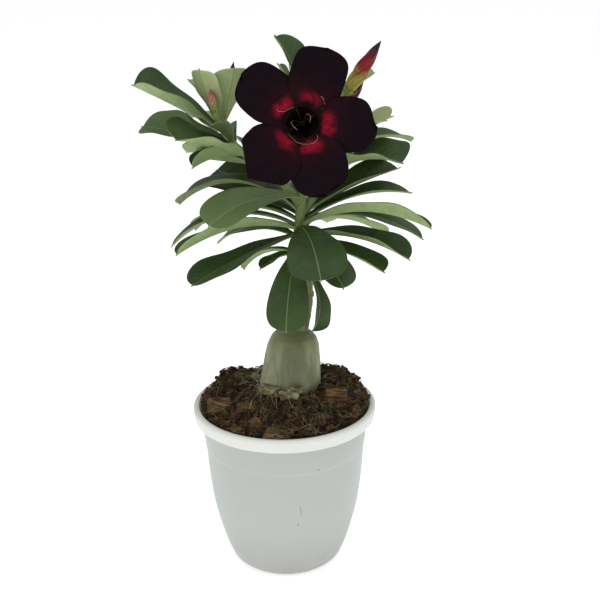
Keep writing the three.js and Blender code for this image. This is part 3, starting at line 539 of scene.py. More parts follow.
def young_bark(settings):
    """Young bark: grey-brown and matt below, green toward the shoots, mottled by old leaf scars."""
    material, node = new_material("young_green_bark")
    where = node("TexCoord", output="Object")
    height = node("SeparateXYZ", [where], "Z")
    drawn = node("Mapping", {"Vector": where, "Scale": (1, 1, 0.4)})
    mottle = node("TexNoise", {"Vector": drawn, "Scale": lumps(2.5), "Detail": 4})
    uneven = node("Math", [mottle, 0.02, height], operation="MULTIPLY_ADD")
    green = node("MapRange", [uneven, 0.2, 0.25, 0, 1], **SMOOTH)
    high = node("MapRange", [height, 0.262, 0.285, 0, 0.8], **SMOOTH)
    dark = node("MapRange", [mottle, 0.45, 0.7, 0, 0.45], **SMOOTH)
    colour = settings.wood_colour
    for share, paint in (
        (green, settings.stem_colour), (high, settings.shoot_colour), (dark, linear("54533a")),
    ):
        colour = node("Mix", {SHARE: share, FIRST: colour, SECOND: paint}, BLENDED, **RGBA)
    relief = node("Bump", {"Height": mottle, "Distance": 0.0004, "Strength": 0.5})
    surface = node("BsdfPrincipled", {"Base Color": colour, "Roughness": 0.55, "Normal": relief})
    node("OutputMaterial", [surface])
    return material


def leaf_skin(settings):
    """Leathery leaf: a satin dark upper face with a thin pale midrib and faint side veins, a pale matt
    underside, a thin pale margin and a dry brown point. Each point of the mesh knows its place on the
    blade."""
    material, node = new_material("leathery_leaf")
    where = node("TexCoord", output="Object")
    blade = node("Attribute", output="Vector", attribute_name="blade")
    across, along, half = node("SeparateXYZ", [blade], XYZ)
    face = node("Attribute", output="Vector", attribute_name="face")
    under, tint_and_sheen, youth = node("SeparateXYZ", [face], XYZ)
    off = node("Math", [across], operation="ABSOLUTE")
    mottle = node("TexNoise", {"Vector": where, "Scale": lumps(7), "Detail": 4})
    uneven = node("MapRange", [mottle, 0.35, 0.7, 0, 1], **SMOOTH)
    light, shade = settings.upper_colour, settings.upper_shade
    upper = node("Mix", {SHARE: uneven, FIRST: light, SECOND: shade}, BLENDED, **RGBA)
    # Painted sheen: the upper face is paled toward grey-green, a little at random on every leaf, and much on
    # the listed rows, where it stands for glare.
    upper = node("Mix", {SHARE: tint_and_sheen, FIRST: upper, SECOND: settings.pale_and_sheen_colour}, BLENDED, **RGBA)
    light, shade = settings.lower_colour, settings.lower_shade
    lower = node("Mix", {SHARE: uneven, FIRST: light, SECOND: shade}, BLENDED, **RGBA)
    colour = node("Mix", {SHARE: under, FIRST: upper, SECOND: lower}, BLENDED, **RGBA)
    young = node("Math", [youth, 0.8], operation="MULTIPLY")
    base = node("MapRange", [along, 4, 22, 0.55, 0], **SMOOTH)
    base = node("Math", [base, youth], operation="MULTIPLY")
    # Side veins leave the midrib about every 5 mm, lean toward the tip and wander a little.
    wander = node("TexNoise", {"Vector": where, "Scale": lumps(9)})
    row = node("Math", [off, -0.6, along], operation="MULTIPLY_ADD")
    row = node("Math", [wander, 5.0, row], operation="MULTIPLY_ADD")
    row = node("Math", [row, 5.0], operation="DIVIDE")
    row = node("Math", [row], operation="FRACT")
    row = node("Math", [row, 0.5], operation="SUBTRACT")
    row = node("Math", [row], operation="ABSOLUTE")
    middle = node("MapRange", [row, 0.42, 0.5, 0, 1], **SMOOTH)
    share = node("Math", [off, half], operation="DIVIDE")
    fading = node("MapRange", [share, 0.5, 0.95, 1, 0], **SMOOTH)
    vein = node("Math", [middle, fading], operation="MULTIPLY")
    faint = node("Math", [vein, 0.08], operation="MULTIPLY")
    rib = node("MapRange", [off, 0.2, 0.55, 0.55, 0], **SMOOTH)
    inset = node("Math", [half, off], operation="SUBTRACT")
    edge = node("MapRange", [inset, 0.1, 0.4, 0.3, 0], **SMOOTH)
    tip = node("Attribute", output="Fac", attribute_name="tip")
    tip = node("MapRange", [tip, 0.0, 1.0, 0, 0.9], **SMOOTH)
    for share, paint in (
        (young, settings.young_colour), (base, linear("a8b450")), (faint, settings.rib_colour),
        (rib, settings.rib_colour), (edge, linear("8f9b70")), (tip, linear("6e4a30")),
    ):
        colour = node("Mix", {SHARE: share, FIRST: colour, SECOND: paint}, BLENDED, **RGBA)
    roughness = node("MapRange", [under, 0, 1, 0.42, 0.62])
    bumps = node("Math", [vein, -0.8, mottle], operation="MULTIPLY_ADD")
    relief = node("Bump", {"Height": bumps, "Distance": 0.0003, "Strength": 0.5})
    surface = node("BsdfPrincipled", {
        "Base Color": colour, "Roughness": roughness, "Specular IOR Level": 0.22, "Normal": relief})
    node("OutputMaterial", [surface])
    return material


def petal_velvet(settings):
    """Velvety petal: near-black maroon that soaks up light, with a streaky crimson flush round the
    throat. The down itself is about 0.05 mm long, too fine to show, so its grain is drawn ten times
    coarser."""
    material, node = new_material("petal_velvet")
    where = node("TexCoord", output="Object")
    petal = node("Attribute", output="Vector", attribute_name="petal")
    out, side, under = node("SeparateXYZ", [petal], XYZ)
    strength = node("Attribute", output="Fac", attribute_name="flush")
    soft = node("TexNoise", {"Vector": where, "Scale": lumps(5), "Detail": 4})
    uneven = node("MapRange", [soft, 0.35, 0.7, 0, 1], **SMOOTH)
    light, shade = settings.petal_colour, settings.petal_shade
    colour = node("Mix", {SHARE: uneven, FIRST: light, SECOND: shade}, BLENDED, **RGBA)
    # The flush is brightest about 13 mm out, breaks into streaks that run outward, and fades to the sides.
    wander = node("Math", [soft, 6.0, out], operation="MULTIPLY_ADD")
    rising = node("MapRange", [wander, 12.5, 15.5, 0, 1], **SMOOTH)
    falling = node("MapRange", [wander, 17.5, 22.5, 1, 0], **SMOOTH)
    middle = node("Math", [side], operation="ABSOLUTE")
    middle = node("MapRange", [middle, 0.2, 0.75, 1, 0], **SMOOTH)
    drawn_out = node("Math", [out, 0.05], operation="MULTIPLY")
    drawn_in = node("Math", [side, 5.0], operation="MULTIPLY")
    streak = node("CombineXYZ", [drawn_out, drawn_in, strength])
    streak = node("TexNoise", [streak], "Fac")
    streak = node("MapRange", [streak, 0.3, 0.6, 0.35, 1], **SMOOTH)
    ragged = node("TexNoise", {"Vector": where, "Scale": lumps(3.2), "Detail": 3})
    ragged = node("MapRange", [ragged, 0.34, 0.52, 0.45, 1], **SMOOTH)
    flush = rising
    for share in (falling, middle, streak, strength, ragged):
        flush = node("Math", [flush, share], operation="MULTIPLY")
    glow = node("MapRange", [out, 16.0, 32.0, 0.25, 0], **SMOOTH)
    deep = node("MapRange", [wander, 12.5, 16.5, 1, 0], **SMOOTH)
    # Inside the tube the skin is a dull olive brown, which little light reaches.
    inside = node("MapRange", [wander, 9.5, 12.5, 0.7, 0], **SMOOTH)
    back = node("Math", [under, 0.45], operation="MULTIPLY")
    for share, paint in (
        (flush, settings.flush_colour), (glow, linear("35080f")), (deep, linear("0a0306")),
        (inside, linear("2c271b")), (back, linear("46202c")),
    ):
        colour = node("Mix", {SHARE: share, FIRST: colour, SECOND: paint}, BLENDED, **RGBA)
    down = node("TexNoise", {"Vector": where, "Scale": lumps(0.6), "Detail": 3})
    relief = node("Bump", {"Height": down, "Distance": 0.0003, "Strength": 0.4})
    surface = node("BsdfPrincipled", {
        "Base Color": colour, "Roughness": 0.62, "Specular IOR Level": 0.05, "Normal": relief})
    node("OutputMaterial", [surface])
    return material


def plant_skin(name, foot, middle, tip, seam, roughness):
    """A satin plant skin whose colour runs from its foot through its middle to its tip, mottled in lumps of
    about 2 mm, and darkened with painted shade in the seams where one fold tucks under the next."""
    material, node = new_material(name)
    where = node("TexCoord", output="Object")
    along = node("Attribute", output="Fac", attribute_name="height")
    crease_shade = node("Attribute", output="Fac", attribute_name="seam")
    mottle = node("TexNoise", {"Vector": where, "Scale": lumps(2.2), "Detail": 4})
    level = node("Math", [mottle, 0.35, along], operation="MULTIPLY_ADD")
    low = node("MapRange", [level, 0.4, 0.68, 0, 1], **SMOOTH)
    colour = node("Mix", {SHARE: low, FIRST: linear(foot), SECOND: linear(middle)}, BLENDED, **RGBA)
    high = node("MapRange", [level, 0.75, 1.05, 0, 1], **SMOOTH)
    colour = node("Mix", {SHARE: high, FIRST: colour, SECOND: linear(tip)}, BLENDED, **RGBA)
    colour = node("Mix", {SHARE: crease_shade, FIRST: colour, SECOND: linear(seam)}, BLENDED, **RGBA)
    relief = node("Bump", {"Height": mottle, "Distance": 0.0002, "Strength": 0.4})
    surface = node("BsdfPrincipled", {
        "Base Color": colour, "Roughness": roughness, "Specular IOR Level": 0.25, "Normal": relief})
    node("OutputMaterial", [surface])
    return material


# ---- Settings ----


def colour_setting(name, description, default):
    """A colour that a user can change, with an sRGB hex default."""
    return bpy.props.FloatVectorProperty(
        name=name, description=description, default=linear(default), size=4, min=0, max=1, subtype="COLOR")


def length_setting(name, description, default):
    """A length that a user can change, with its default in millimetres."""
    return bpy.props.FloatProperty(
        name=name, description=description, default=default * MM, min=0, unit="LENGTH", precision=4)


def count_setting(name, description, default):
    """A number of pieces that a user can change."""
    return bpy.props.IntProperty(name=name, description=description, default=default, min=0)


class PotSettings(bpy.types.PropertyGroup):
    rim_rounding: length_setting("Rim rounding", "How far the rim's edges are eased", 0.9)
    # The wall and rim colours hold painted shade and painted light as well as the plastic's own colour; the
    # foot colour is painted shade.
    colour: colour_setting("Wall", "Colour of the thin wall", "b4b9b5")
    foot_shade_colour: colour_setting("Foot", "Colour of the wall near the foot", "a2a19c")
    rim_lit_colour: colour_setting("Rim", "Colour of the rim", "dfe1db")


class MixSettings(bpy.types.PropertyGroup):
    chips: count_setting("Small chips", "Loose husk chips on the mix", 260)
    strands: count_setting("Strands", "Coir strands on the mix", 760)
    long_strands: count_setting("Long fibres", "Long pale fibres round the caudex", 46)
    crumbs: count_setting("Crumbs", "Crumbs on the mix", 900)
    flakes: count_setting("Root flakes", "Pale flakes at the caudex's foot", 34)
    moss: count_setting("Moss", "Tufts in each of the two mossy places", 110)
    dark: colour_setting("Peat", "Colour of the damp crumb between the chips", "47331d")
    chip: colour_setting("Husk", "Colour of the husk chips", "8c6c48")
    strand: colour_setting("Fibre", "Colour of the coir strands", "9a8c66")


class StemSettings(bpy.types.PropertyGroup):
    colour: colour_setting("Caudex", "Colour of the swollen rootstock", "8f926f")
    wood_colour: colour_setting("Wood", "Colour of the old stem", "7f7a5c")
    stem_colour: colour_setting("Green stem", "Colour of the young stems", "6f8448")
    shoot_colour: colour_setting("Shoot", "Colour of the youngest stems", "9aa85a")


class LeafSettings(bpy.types.PropertyGroup):
    margin_wave: bpy.props.FloatProperty(
        name="Margin wave", description="Height of the wave of a leaf's margin, as a share of its half width",
        default=0.07, min=0, max=0.3, subtype="FACTOR")
    upper_colour: colour_setting("Upper face", "Colour of a leaf's upper face", "2a4218")
    upper_shade: colour_setting("Upper shade", "Darker patches of the upper face", "203614")
    # The paler upper face is mostly painted sheen, the glare on a few leaves.
    pale_and_sheen_colour: colour_setting("Paler upper face", "Colour of the palest old leaf's upper face", "5f7246")
    lower_colour: colour_setting("Underside", "Colour of a leaf's underside", "93a672")
    lower_shade: colour_setting("Underside shade", "Darker patches of the underside", "869a66")
    rib_colour: colour_setting("Veins", "Colour of the midrib and the side veins", "7d9060")
    young_colour: colour_setting("Young leaf", "Colour of the youngest leaves", "b2bd88")


class FlowerSettings(bpy.types.PropertyGroup):
    ruffle: length_setting("Ruffle", "Height of the fine wave along a petal's margin", 0.7)
    petal_colour: colour_setting("Petal", "Colour of the velvety petals", "15080f")
    petal_shade: colour_setting("Petal shade", "Darker patches of the petals", "0f060c")
    flush_colour: colour_setting("Flush", "Colour of the petals round the throat", "a81030")


class StageSettings(bpy.types.PropertyGroup):
    floor_colour: colour_setting("Floor", "Colour of the studio paper", "fbfbfb")
    ambient: bpy.props.FloatProperty(
        name="Ambient light", description="Strength of the light from all round", default=0.5, min=0)
    overhead: bpy.props.FloatProperty(
        name="Overhead light", description="Power of the overhead softbox", default=10.0, min=0, unit="POWER")


SETTINGS = {
    "desert_rose_pot": PotSettings,
    "desert_rose_mix": MixSettings,
    "desert_rose_stems": StemSettings,
    "desert_rose_leaves": LeafSettings,
    "desert_rose_flower": FlowerSettings,
    "desert_rose_stage": StageSettings,
}


# ---- Pot ----

POT_SIDES = 192
LOWER_ROWS, UPPER_ROWS = 24, 6  # rings of the wall below its step and above it


def pot_profile(rounding):
    """Radius and height from the middle of the underside, up the bowed outside with its small step,
    over the rolled rim and down the inside to the floor's middle."""
    low = np.linspace(POT_LOWER[0][0], POT_LOWER[-1][0], LOWER_ROWS)
    high = np.linspace(POT_UPPER[0][0], POT_UPPER[-1][0], UPPER_ROWS)
    wall = np.array([*zip(through(POT_LOWER, low), low), *zip(through(POT_UPPER, high), high)])
    rim = [(RIM_RADIUS - inset, POT_HEIGHT - drop) for inset, drop in POT_RIM]
    inside = np.concatenate([POT_WELL, wall[1:] - [POT_WALL, 0]])
    return rounded(np.concatenate([POT_FOOT, wall, rim, inside[::-1]]), rounding)


def build_pot(settings):
    """The pot: its profile turned about Z, then six drain holes cut through its floor."""
    profile = pot_profile(settings.rim_rounding / MM)
    profile[:, 0] = np.maximum(profile[:, 0], POLE)
    walls = [skin(lathe(profile, POT_SIDES))]
    made = make_piece("nursery_pot", walls, pot_plastic(settings), ["pot"])
    for i in range(DRAIN_COUNT):
        bearing = 2 * math.pi * (i + 0.5) / DRAIN_COUNT
        place = (DRAIN_RING * MM * math.cos(bearing), DRAIN_RING * MM * math.sin(bearing), 0)
        bpy.ops.mesh.primitive_cylinder_add(
            vertices=32, radius=DRAIN_RADIUS * MM, depth=4 * POT_FLOOR * MM, location=place)
        cutter = bpy.context.object
        cut = made.modifiers.new("drain_hole", "BOOLEAN")
        cut.object, cut.solver = cutter, "EXACT"
        with bpy.context.temp_override(object=made, active_object=made, selected_objects=[made]):
            bpy.ops.object.modifier_apply(modifier=cut.name)
        bpy.data.objects.remove(cutter)


# ---- Potting mix ----

MIX_SIDES = 300
# How near to the caudex's axis loose pieces lie, and where its long fibres start.
LOOSE_CLEAR, FIBRE_START = 23, 21
STRAND_REACH = 55.2  # strands are bent inward here, at the inside of the rim


def mix_height(x, y):
    """Height of the mix, as in the CAD: level at the rim, mounded round the caudex, with heaps, and with
    bumps that are products of two waves."""
    away = np.maximum(0, np.hypot(x - CAUDEX_X, y - CAUDEX_Y) - MOUND_FLAT)
    height = MIX_RIM_HEIGHT + MOUND_HEIGHT * np.exp(-((away / MOUND_REACH) ** 2))
    for hx, hy, rise, reach in HEAPS:
        height = height + rise * np.exp(-((x - hx) ** 2 + (y - hy) ** 2) / reach**2)
    coarse = np.sin(0.41 * x + 1.3) * np.cos(0.37 * y - 0.7)
    fine = np.sin(0.93 * x - 0.52 * y) * np.cos(0.71 * y + 0.4 * x)
    return height + 1.1 * coarse + 0.9 * fine


def tones(base, spread, count, rng):
    """A colour for each of count pieces: the base made darker or lighter, and warmer or cooler, at
    random."""
    light = rng.normal(1, spread, (count, 1)).clip(0.35, 1.7)
    warm = rng.normal(0, 0.35 * spread, (count, 1))
    return np.clip(np.array(base[:3]) * light * (1 + warm * np.array([1, 0, -1])), 0.004, 0.9)


def mix_bed(settings):
    """The bed: the pot's inside wall, then rings inward over mix_height with three sizes of noise."""
    inner = [*POT_WELL, *((r - POT_WALL, z) for z, r in (*POT_LOWER[1:], *POT_UPPER))]
    side = lathe([(max(r - 0.3, POLE), z + 0.3) for r, z in inner] + [MIX_EDGE], MIX_SIDES)
    radius = np.concatenate([np.linspace(*span) for span in BED_RINGS])
    top = lathe([(r, 0) for r in radius], MIX_SIDES)
    x, y = top[..., 0], top[..., 1]
    crumb = 0.9 * ripples(top, 9, 3) + 0.7 * np.abs(ripples(top, 4.2, 4)) + 0.45 * ripples(top, 2.1, 5)
    ease = np.clip((MIX_EDGE[0] - radius) / 2.4, 0, 1)[None, :, None]
    top[..., 2] = MIX_EDGE[1] * (1 - ease) + (mix_height(x, y) - 0.5 + crumb) * ease
    rings = np.concatenate([side, top], 1)
    shade = 0.75 + 0.5 * ripples(rings, 6, 7)[..., None].clip(-1, 1) * 0.6
    tone = np.array(settings.dark[:3]) * shade
    return skin(rings, tone=tone, grain=rings)


def chip_rings(size, place, turns, rng, stations=5, sides=8, rough=0.06):
    """Blocks of husk [body, ring, side, xyz]: a rounded oblong section carried along each length, cut
    aslant and narrowed at both ends, with its points knocked about at random, then turned and set in
    place. Gives the rings, and each point's place along and across its own fibres."""
    count = len(size)
    length, width, thick = (size[:, k, None, None] for k in range(3))
    t = np.linspace(-1, 1, stations)[None, :, None]
    angle = (np.arange(sides) + 0.5) * 2 * np.pi / sides
    round_y = np.sign(np.cos(angle)) * np.abs(np.cos(angle)) ** 0.3
    round_z = np.sign(np.sin(angle)) * np.abs(np.sin(angle)) ** 0.3
    taper = (1 - 0.16 * np.abs(t) ** 12) * (1 + 0.14 * t * rng.uniform(-1, 1, (count, 1, 1)))
    x = length / 2 * (t + 0.16 * rng.uniform(-1, 1, (count, 1, 1)) * round_y * np.abs(t))
    y = width / 2 * round_y * taper + 0.06 * length * t
    z = thick / 2 * round_z * taper
    knock = rng.normal(0, rough, (count, stations, sides, 3)) * thick[..., None]
    local = np.stack(np.broadcast_arrays(x, y, z), -1) + knock
    turned = np.einsum("bij,bnsj->bnsi", turns, local)
    grain = np.stack(np.broadcast_arrays(x, y, z), -1) + rng.uniform(0, 90, (count, 1, 1, 3))
    return turned + place[:, None, None], grain


def chip_turns(turn, tilt):
    """A matrix for each chip: tilted about its length, a fifth as much about its width, then turned
    about Z."""
    return np.array([turn_about_z(a) @ turn_about_y(b / 5) @ turn_about_x(b) for a, b in zip(turn, tilt)])


def big_chips(settings):
    """The chips of the CAD part in finer shape, at its own places: those that show, and more that are
    spread over the mix by the golden angle."""
    rows = [(*row, SEEN_SINK) for row in CHIPS_SEEN]
    draw = draws(11)
    for i in range(MORE_CHIPS):
        bearing = math.radians(i * GOLDEN_ANGLE + 12 * next(draw))
        reach = CHIPS_FROM + (CHIPS_TO - CHIPS_FROM) * math.sqrt((i + 0.5) / MORE_CHIPS)
        length = 5 + 6 * next(draw)
        turn = 360 * next(draw)
        tilt = 50 * next(draw) - 15
        x, y = reach * math.cos(bearing), reach * math.sin(bearing)
        rows.append((x, y, length, 0.62 * length, 0.4 * length, turn, tilt, MORE_LIGHT, MORE_SINK))
    rows = np.array(rows)
    x, y, length, width, thick, turn, tilt, light, sink = rows.T
    z = mix_height(x, y) - sink * thick + 0.3 * width * np.sin(np.radians(tilt))
    rng = np.random.default_rng(21)
    place = np.column_stack([x, y, z])
    rings, grain = chip_rings(rows[:, 2:5], place, chip_turns(turn, tilt), rng, 22, 28, 0.012)
    # Grooves along each chip's length, from noise that hardly changes along it.
    groove = ripples(grain * [0.12, 1, 1], 1.6, 8)[..., None]
    middle = rings.mean(axis=2, keepdims=True)
    rings = rings + unit(rings - middle) * groove * 0.28
    tone = tones(settings.chip, 0.12, len(rows), rng) * light[:, None]
    return skin(rings, tone=np.broadcast_to(tone[:, None, None], rings.shape), grain=grain)


def scattered(count, rng, near=24, far=54):
    """Points spread evenly over the ring of mix between near and far, clear of the caudex."""
    bearing = rng.uniform(0, 2 * np.pi, count)
    reach = np.sqrt(rng.uniform(near**2, far**2, count))
    x, y = reach * np.cos(bearing), reach * np.sin(bearing)
    clear = np.hypot(x - CAUDEX_X, y - CAUDEX_Y) > LOOSE_CLEAR
    return x[clear], y[clear]


def small_chips(settings):
    """Loose chips 2 to 7 mm long, lying at random on the mix."""
    rng = np.random.default_rng(31)
    x, y = scattered(settings.chips, rng)
    count = len(x)
    length = 2 + 5 * rng.uniform(0, 1, count) ** 2
    width = length * rng.uniform(0.35, 0.8, count)
    thick = length * rng.uniform(0.2, 0.45, count)
    size = np.column_stack([length, width, thick])
    turns = chip_turns(rng.uniform(0, 360, count), rng.normal(0, 28, count))
    place = np.column_stack([x, y, mix_height(x, y) + 0.35 * size[:, 2]])
    rings, grain = chip_rings(size, place, turns, rng)
    tone = np.broadcast_to(tones(settings.chip, 0.35, count, rng)[:, None, None] * 0.5, rings.shape)
    return skin(rings, tone=tone, grain=grain)


def strand_skins(settings):
    """Coir strands: thin tubes that wander over the mix, each a run of even steps whose heading drifts,
    lifted off the surface in low arches. The last of them are the long pale fibres round the caudex."""
    rng = np.random.default_rng(41)
    x, y = scattered(settings.strands, rng, 22, 53)
    # Long pale fibres lean away from the caudex, most of them on its left.
    bearing = np.radians(rng.normal(-192, 38, settings.long_strands))
    x = np.append(x, CAUDEX_X + FIBRE_START * np.cos(bearing))
    y = np.append(y, CAUDEX_Y + FIBRE_START * np.sin(bearing))
    count, steps = len(x), 9
    long = np.arange(count)[:, None] >= count - settings.long_strands
    step = np.where(long, rng.uniform(16, 34, (count, 1)), rng.uniform(5, 24, (count, 1))) / steps
    outward = np.append(np.zeros(count - len(bearing)), bearing)[:, None] + rng.normal(0, 1.1, (count, 1))
    start = np.where(long, outward, rng.uniform(0, 2 * np.pi, (count, 1)))
    heading = start + np.cumsum(rng.normal(0, 1, (count, steps)) * np.where(long, 0.3, 0.16), 1)
    heading += rng.normal(0, 0.05, (count, 1)) * np.arange(steps)
    px = x[:, None] + np.cumsum(step * np.cos(heading), 1)
    py = y[:, None] + np.cumsum(step * np.sin(heading), 1)
    reach = np.hypot(px, py)
    inward = np.minimum(1, STRAND_REACH / reach)
    px, py = px * inward, py * inward
    share = np.linspace(0, 1, steps)
    arch = rng.uniform(0.2, 2.2, (count, 1)) ** 1.2 * np.sin(np.pi * share) * np.where(long, 1.8, 1) + 0.5
    path = np.stack([px, py, mix_height(px, py) + arch], -1)
    radius = rng.uniform(0.08, 0.22, (count, 1)) * (1 - 0.4 * np.abs(2 * share - 1) ** 3)
    rings = tube(path, radius, 4, (0, 0, 1))
    pale = tones(linear("a8a888"), 0.3, count, rng)
    tone = np.where(long, pale, tones(settings.strand, 0.4, count, rng) * 0.6)
    tone = np.broadcast_to(tone[:, None, None], rings.shape)
    grain = np.broadcast_to(np.arange(steps)[None, :, None, None] * 2.0, rings.shape)
    return skin(rings, tone=tone, grain=grain)


def crumb_skins(settings):
    """Crumbs of mix: small lumps of four rings, flattened and knocked about, dark with a few pale
    grains, and green tufts where moss grows."""
    rng = np.random.default_rng(51)
    x, y = scattered(settings.crumbs, rng, 22, 54.4)
    tufts = np.repeat(MOSS, settings.moss, axis=0) + rng.normal(0, [4.2, 2.6], (len(MOSS) * settings.moss, 2))
    x, y = np.append(x, tufts[:, 0]), np.append(y, tufts[:, 1])
    count = len(x)
    size = rng.uniform(0.5, 1.5, count) ** 1.3
    polar = np.array([0.35, 1.1, 1.9, 2.75])
    angle = np.arange(6) * np.pi / 3
    ring, level = np.sin(polar)[:, None], -np.cos(polar)[:, None] * 0.7
    ball = np.stack(np.broadcast_arrays(ring * np.cos(angle), ring * np.sin(angle), level), -1)
    rings = ball[None] * size[:, None, None, None] * rng.uniform(0.7, 1.3, (count, 4, 6, 1))
    place = np.column_stack([x, y, mix_height(x, y) + 0.3 * size])
    rings = rings + place[:, None, None]
    tone = tones(settings.dark, 0.45, count, rng) * 1.25
    tone[count - len(tufts):] = tones(linear("39461f"), 0.3, len(tufts), rng)
    pale = rng.uniform(0, 1, count) < 0.008
    tone[pale] = tones(linear("c9c4b4"), 0.1, pale.sum(), rng)
    tone = np.broadcast_to(tone[:, None, None], rings.shape)
    return skin(rings, tone=tone, grain=rings)


def root_flakes(settings):
    """Thin pale flakes of dead root skin that lean against the left and front of the caudex's foot."""
    rng = np.random.default_rng(61)
    bearing = np.radians(rng.uniform(-215, -85, settings.flakes))
    reach = rng.uniform(20, 26, settings.flakes)
    x, y = CAUDEX_X + reach * np.cos(bearing), CAUDEX_Y + reach * np.sin(bearing)
    length = rng.uniform(4, 9, settings.flakes)
    size = np.column_stack([length, 0.5 * length, 0.16 * length])
    turns = chip_turns(np.degrees(bearing) + 90 + rng.normal(0, 25, len(x)), rng.normal(45, 20, len(x)))
    place = np.column_stack([x, y, mix_height(x, y) + rng.uniform(1, 5.5, len(x))])
    rings, grain = chip_rings(size, place, turns, rng, 8, 10)
    tone = tones(linear("9c9a78"), 0.15, len(x), rng)
    return skin(rings, tone=np.broadcast_to(tone[:, None, None], rings.shape), grain=grain)


def build_mix(settings):
    """The bed of mix and what lies on it: large and small chips, root flakes, strands and crumbs."""
    bed = coir("damp_coir_crumb", 1.2, 0.5)
    husk = coir("coconut_husk", 0.8, 0.75)
    fibre = coir("coir_fibre", 1.6, 0)
    make_piece("mix_bed", [mix_bed(settings)], bed, ["potting_mix"])
    make_piece("husk_chips", [big_chips(settings)], husk)
    make_piece("husk_bits", [small_chips(settings)], husk, smooth=False)
    make_piece("root_flakes", [root_flakes(settings)], fibre)
    make_piece("coir_strands", [strand_skins(settings)], fibre)
    make_piece("mix_crumbs", [crumb_skins(settings)], bed, smooth=False)


# ---- Caudex and stems ----


def build_caudex(settings):
    """The caudex: its profile turned about a leaning axis, gently lobed, with root swellings at soil
    level and shallow upright folds that fade toward the cut top."""
    height = np.concatenate([np.linspace(*span) for span in CAUDEX_RINGS])
    a, z = np.meshgrid(bearings(160), height)
    radius = through(CAUDEX_SIDE, z) * (1 + 0.018 * np.cos(3 * a + 1) + 0.012 * np.cos(5 * a))
    for side, level, stand in ROOT_BUMPS:
        turn = (np.degrees(a) - side + 180) % 360 - 180
        radius += stand * np.exp(-((turn / 20) ** 2) - ((z - level) / 7) ** 2)
    around = np.stack([20 * np.cos(a), 20 * np.sin(a), z], -1)
    fade = np.clip((CAUDEX_SIDE[-1][0] - z) / 6, 0, 1)
    folds = 0.22 * ripples(around * [1, 1, 0.25], 9, 61)
    marks = 0.035 * ripples(around * [1, 1, 0.12], 2.2, 62)
    radius += fade * (folds + marks)
    radius += 0.16 * ripples(around, 9, 63)
    lean = CAUDEX_LEAN * (np.clip(z, 104, 158) - 158)
    rings = np.stack([CAUDEX_X + lean + radius * np.cos(a), CAUDEX_Y + radius * np.sin(a), z], -1)[None]
    make_piece("caudex_skin", [skin(rings)], caudex_bark(settings), ["caudex"])


def stem_skin(points, start, end, radii, seed, steps=90, sides=28):
    """A stem: a tube along part of its curve whose radius follows the rows and is made uneven by two
    sizes of noise."""
    at = np.linspace(start, end, steps)
    path = spline(points, at)[None]
    radius = through(radii, at)[None, :, None]
    angle = bearings(sides)
    round_ = np.stack([np.cos(angle), np.sin(angle)], -1)
    reach = np.concatenate([[0], np.cumsum(np.linalg.norm(np.diff(path[0], axis=0), axis=1))])
    place = np.concatenate(np.broadcast_arrays(3 * round_[None], reach[:, None, None]), -1)[..., :3]
    knots = 0.22 * ripples(place, 7, seed) + 0.1 * ripples(place, 2.5, seed + 1)
    return skin(tube(path, radius + knots[None], sides))


def build_trunk(settings):
    """The scion's woody foot with its leaf scar, and the green stems of the three shoots above it."""
    bark = young_bark(settings)
    radii = [(0, 5.4), (0.03, 4.7), (0.08, 4.25), (0.17, 4), (0.26, 3.7), (0.3, 3.65)]
    scar = np.array([[[0, 0, 0], [0.9, 0, 0], [1.4, 0, 0]]], float) + spline(MAIN_STEM, 0.2) + [3.0, -0.6, 0]
    scar_rings = tube(scar, np.array([[2.4, 2.1, 1.2]]), 24, (0, 0, 1))
    wood = [stem_skin(MAIN_STEM, 0, WOOD_END, radii, 71, 60), skin(scar_rings)]
    make_piece("scion_bark", wood, bark, ["scion_trunk"])
    green = [stem_skin(MAIN_STEM, GREEN_START, 1, [(0.25, 3.7), (0.6, 2.9), (1, 2.2)], 73)]
    green.append(stem_skin(LEFT_SHOOT, 0, 1, [(0, 3), (0.2, 2.8), (1, 2.2)], 75, 60))
    green.append(stem_skin(RIGHT_SHOOT, 0, 1, [(0, 3), (0.32, 2.8), (1, 2.2)], 77, 50))
    make_piece("green_stems", green, bark)


# ---- Leaves ----

BLADE_ACROSS = np.array([0, 0.05, 0.13, 0.28, 0.46, 0.66, 0.83, 0.95, 1])
BLADE_STATIONS = 36
BLADE_GREATEST = 0.6972  # about the greatest value of the outline before it is divided by this
POINT_LENGTH = 1.3  # the dry point at a leaf's tip


def blade_outline(s):
    """Share of the half width along a blade: a power of the place on it times a power of what is left,
    narrow at the stem, widest near four fifths, blunt at the tip."""
    return s**1.05 * np.maximum(1 - s**6, 0) ** 0.42 / BLADE_GREATEST


def back_rows(count, start, end, first, last, length, width):
    """Rows for the leaves at the back: steps of the golden angle folded between two bearings."""
    rows = []
    for i in range(count):
        share = (i * GOLDEN_ANGLE / 360) % 1
        size = 1 - 0.25 * i / count
        at = start + (end - start) * i / count
        azimuth = first + (last - first) * share
        rows.append((at, azimuth, 22 + 26 * i / count, 58, length * size, width * size, 26, 0))
    return rows


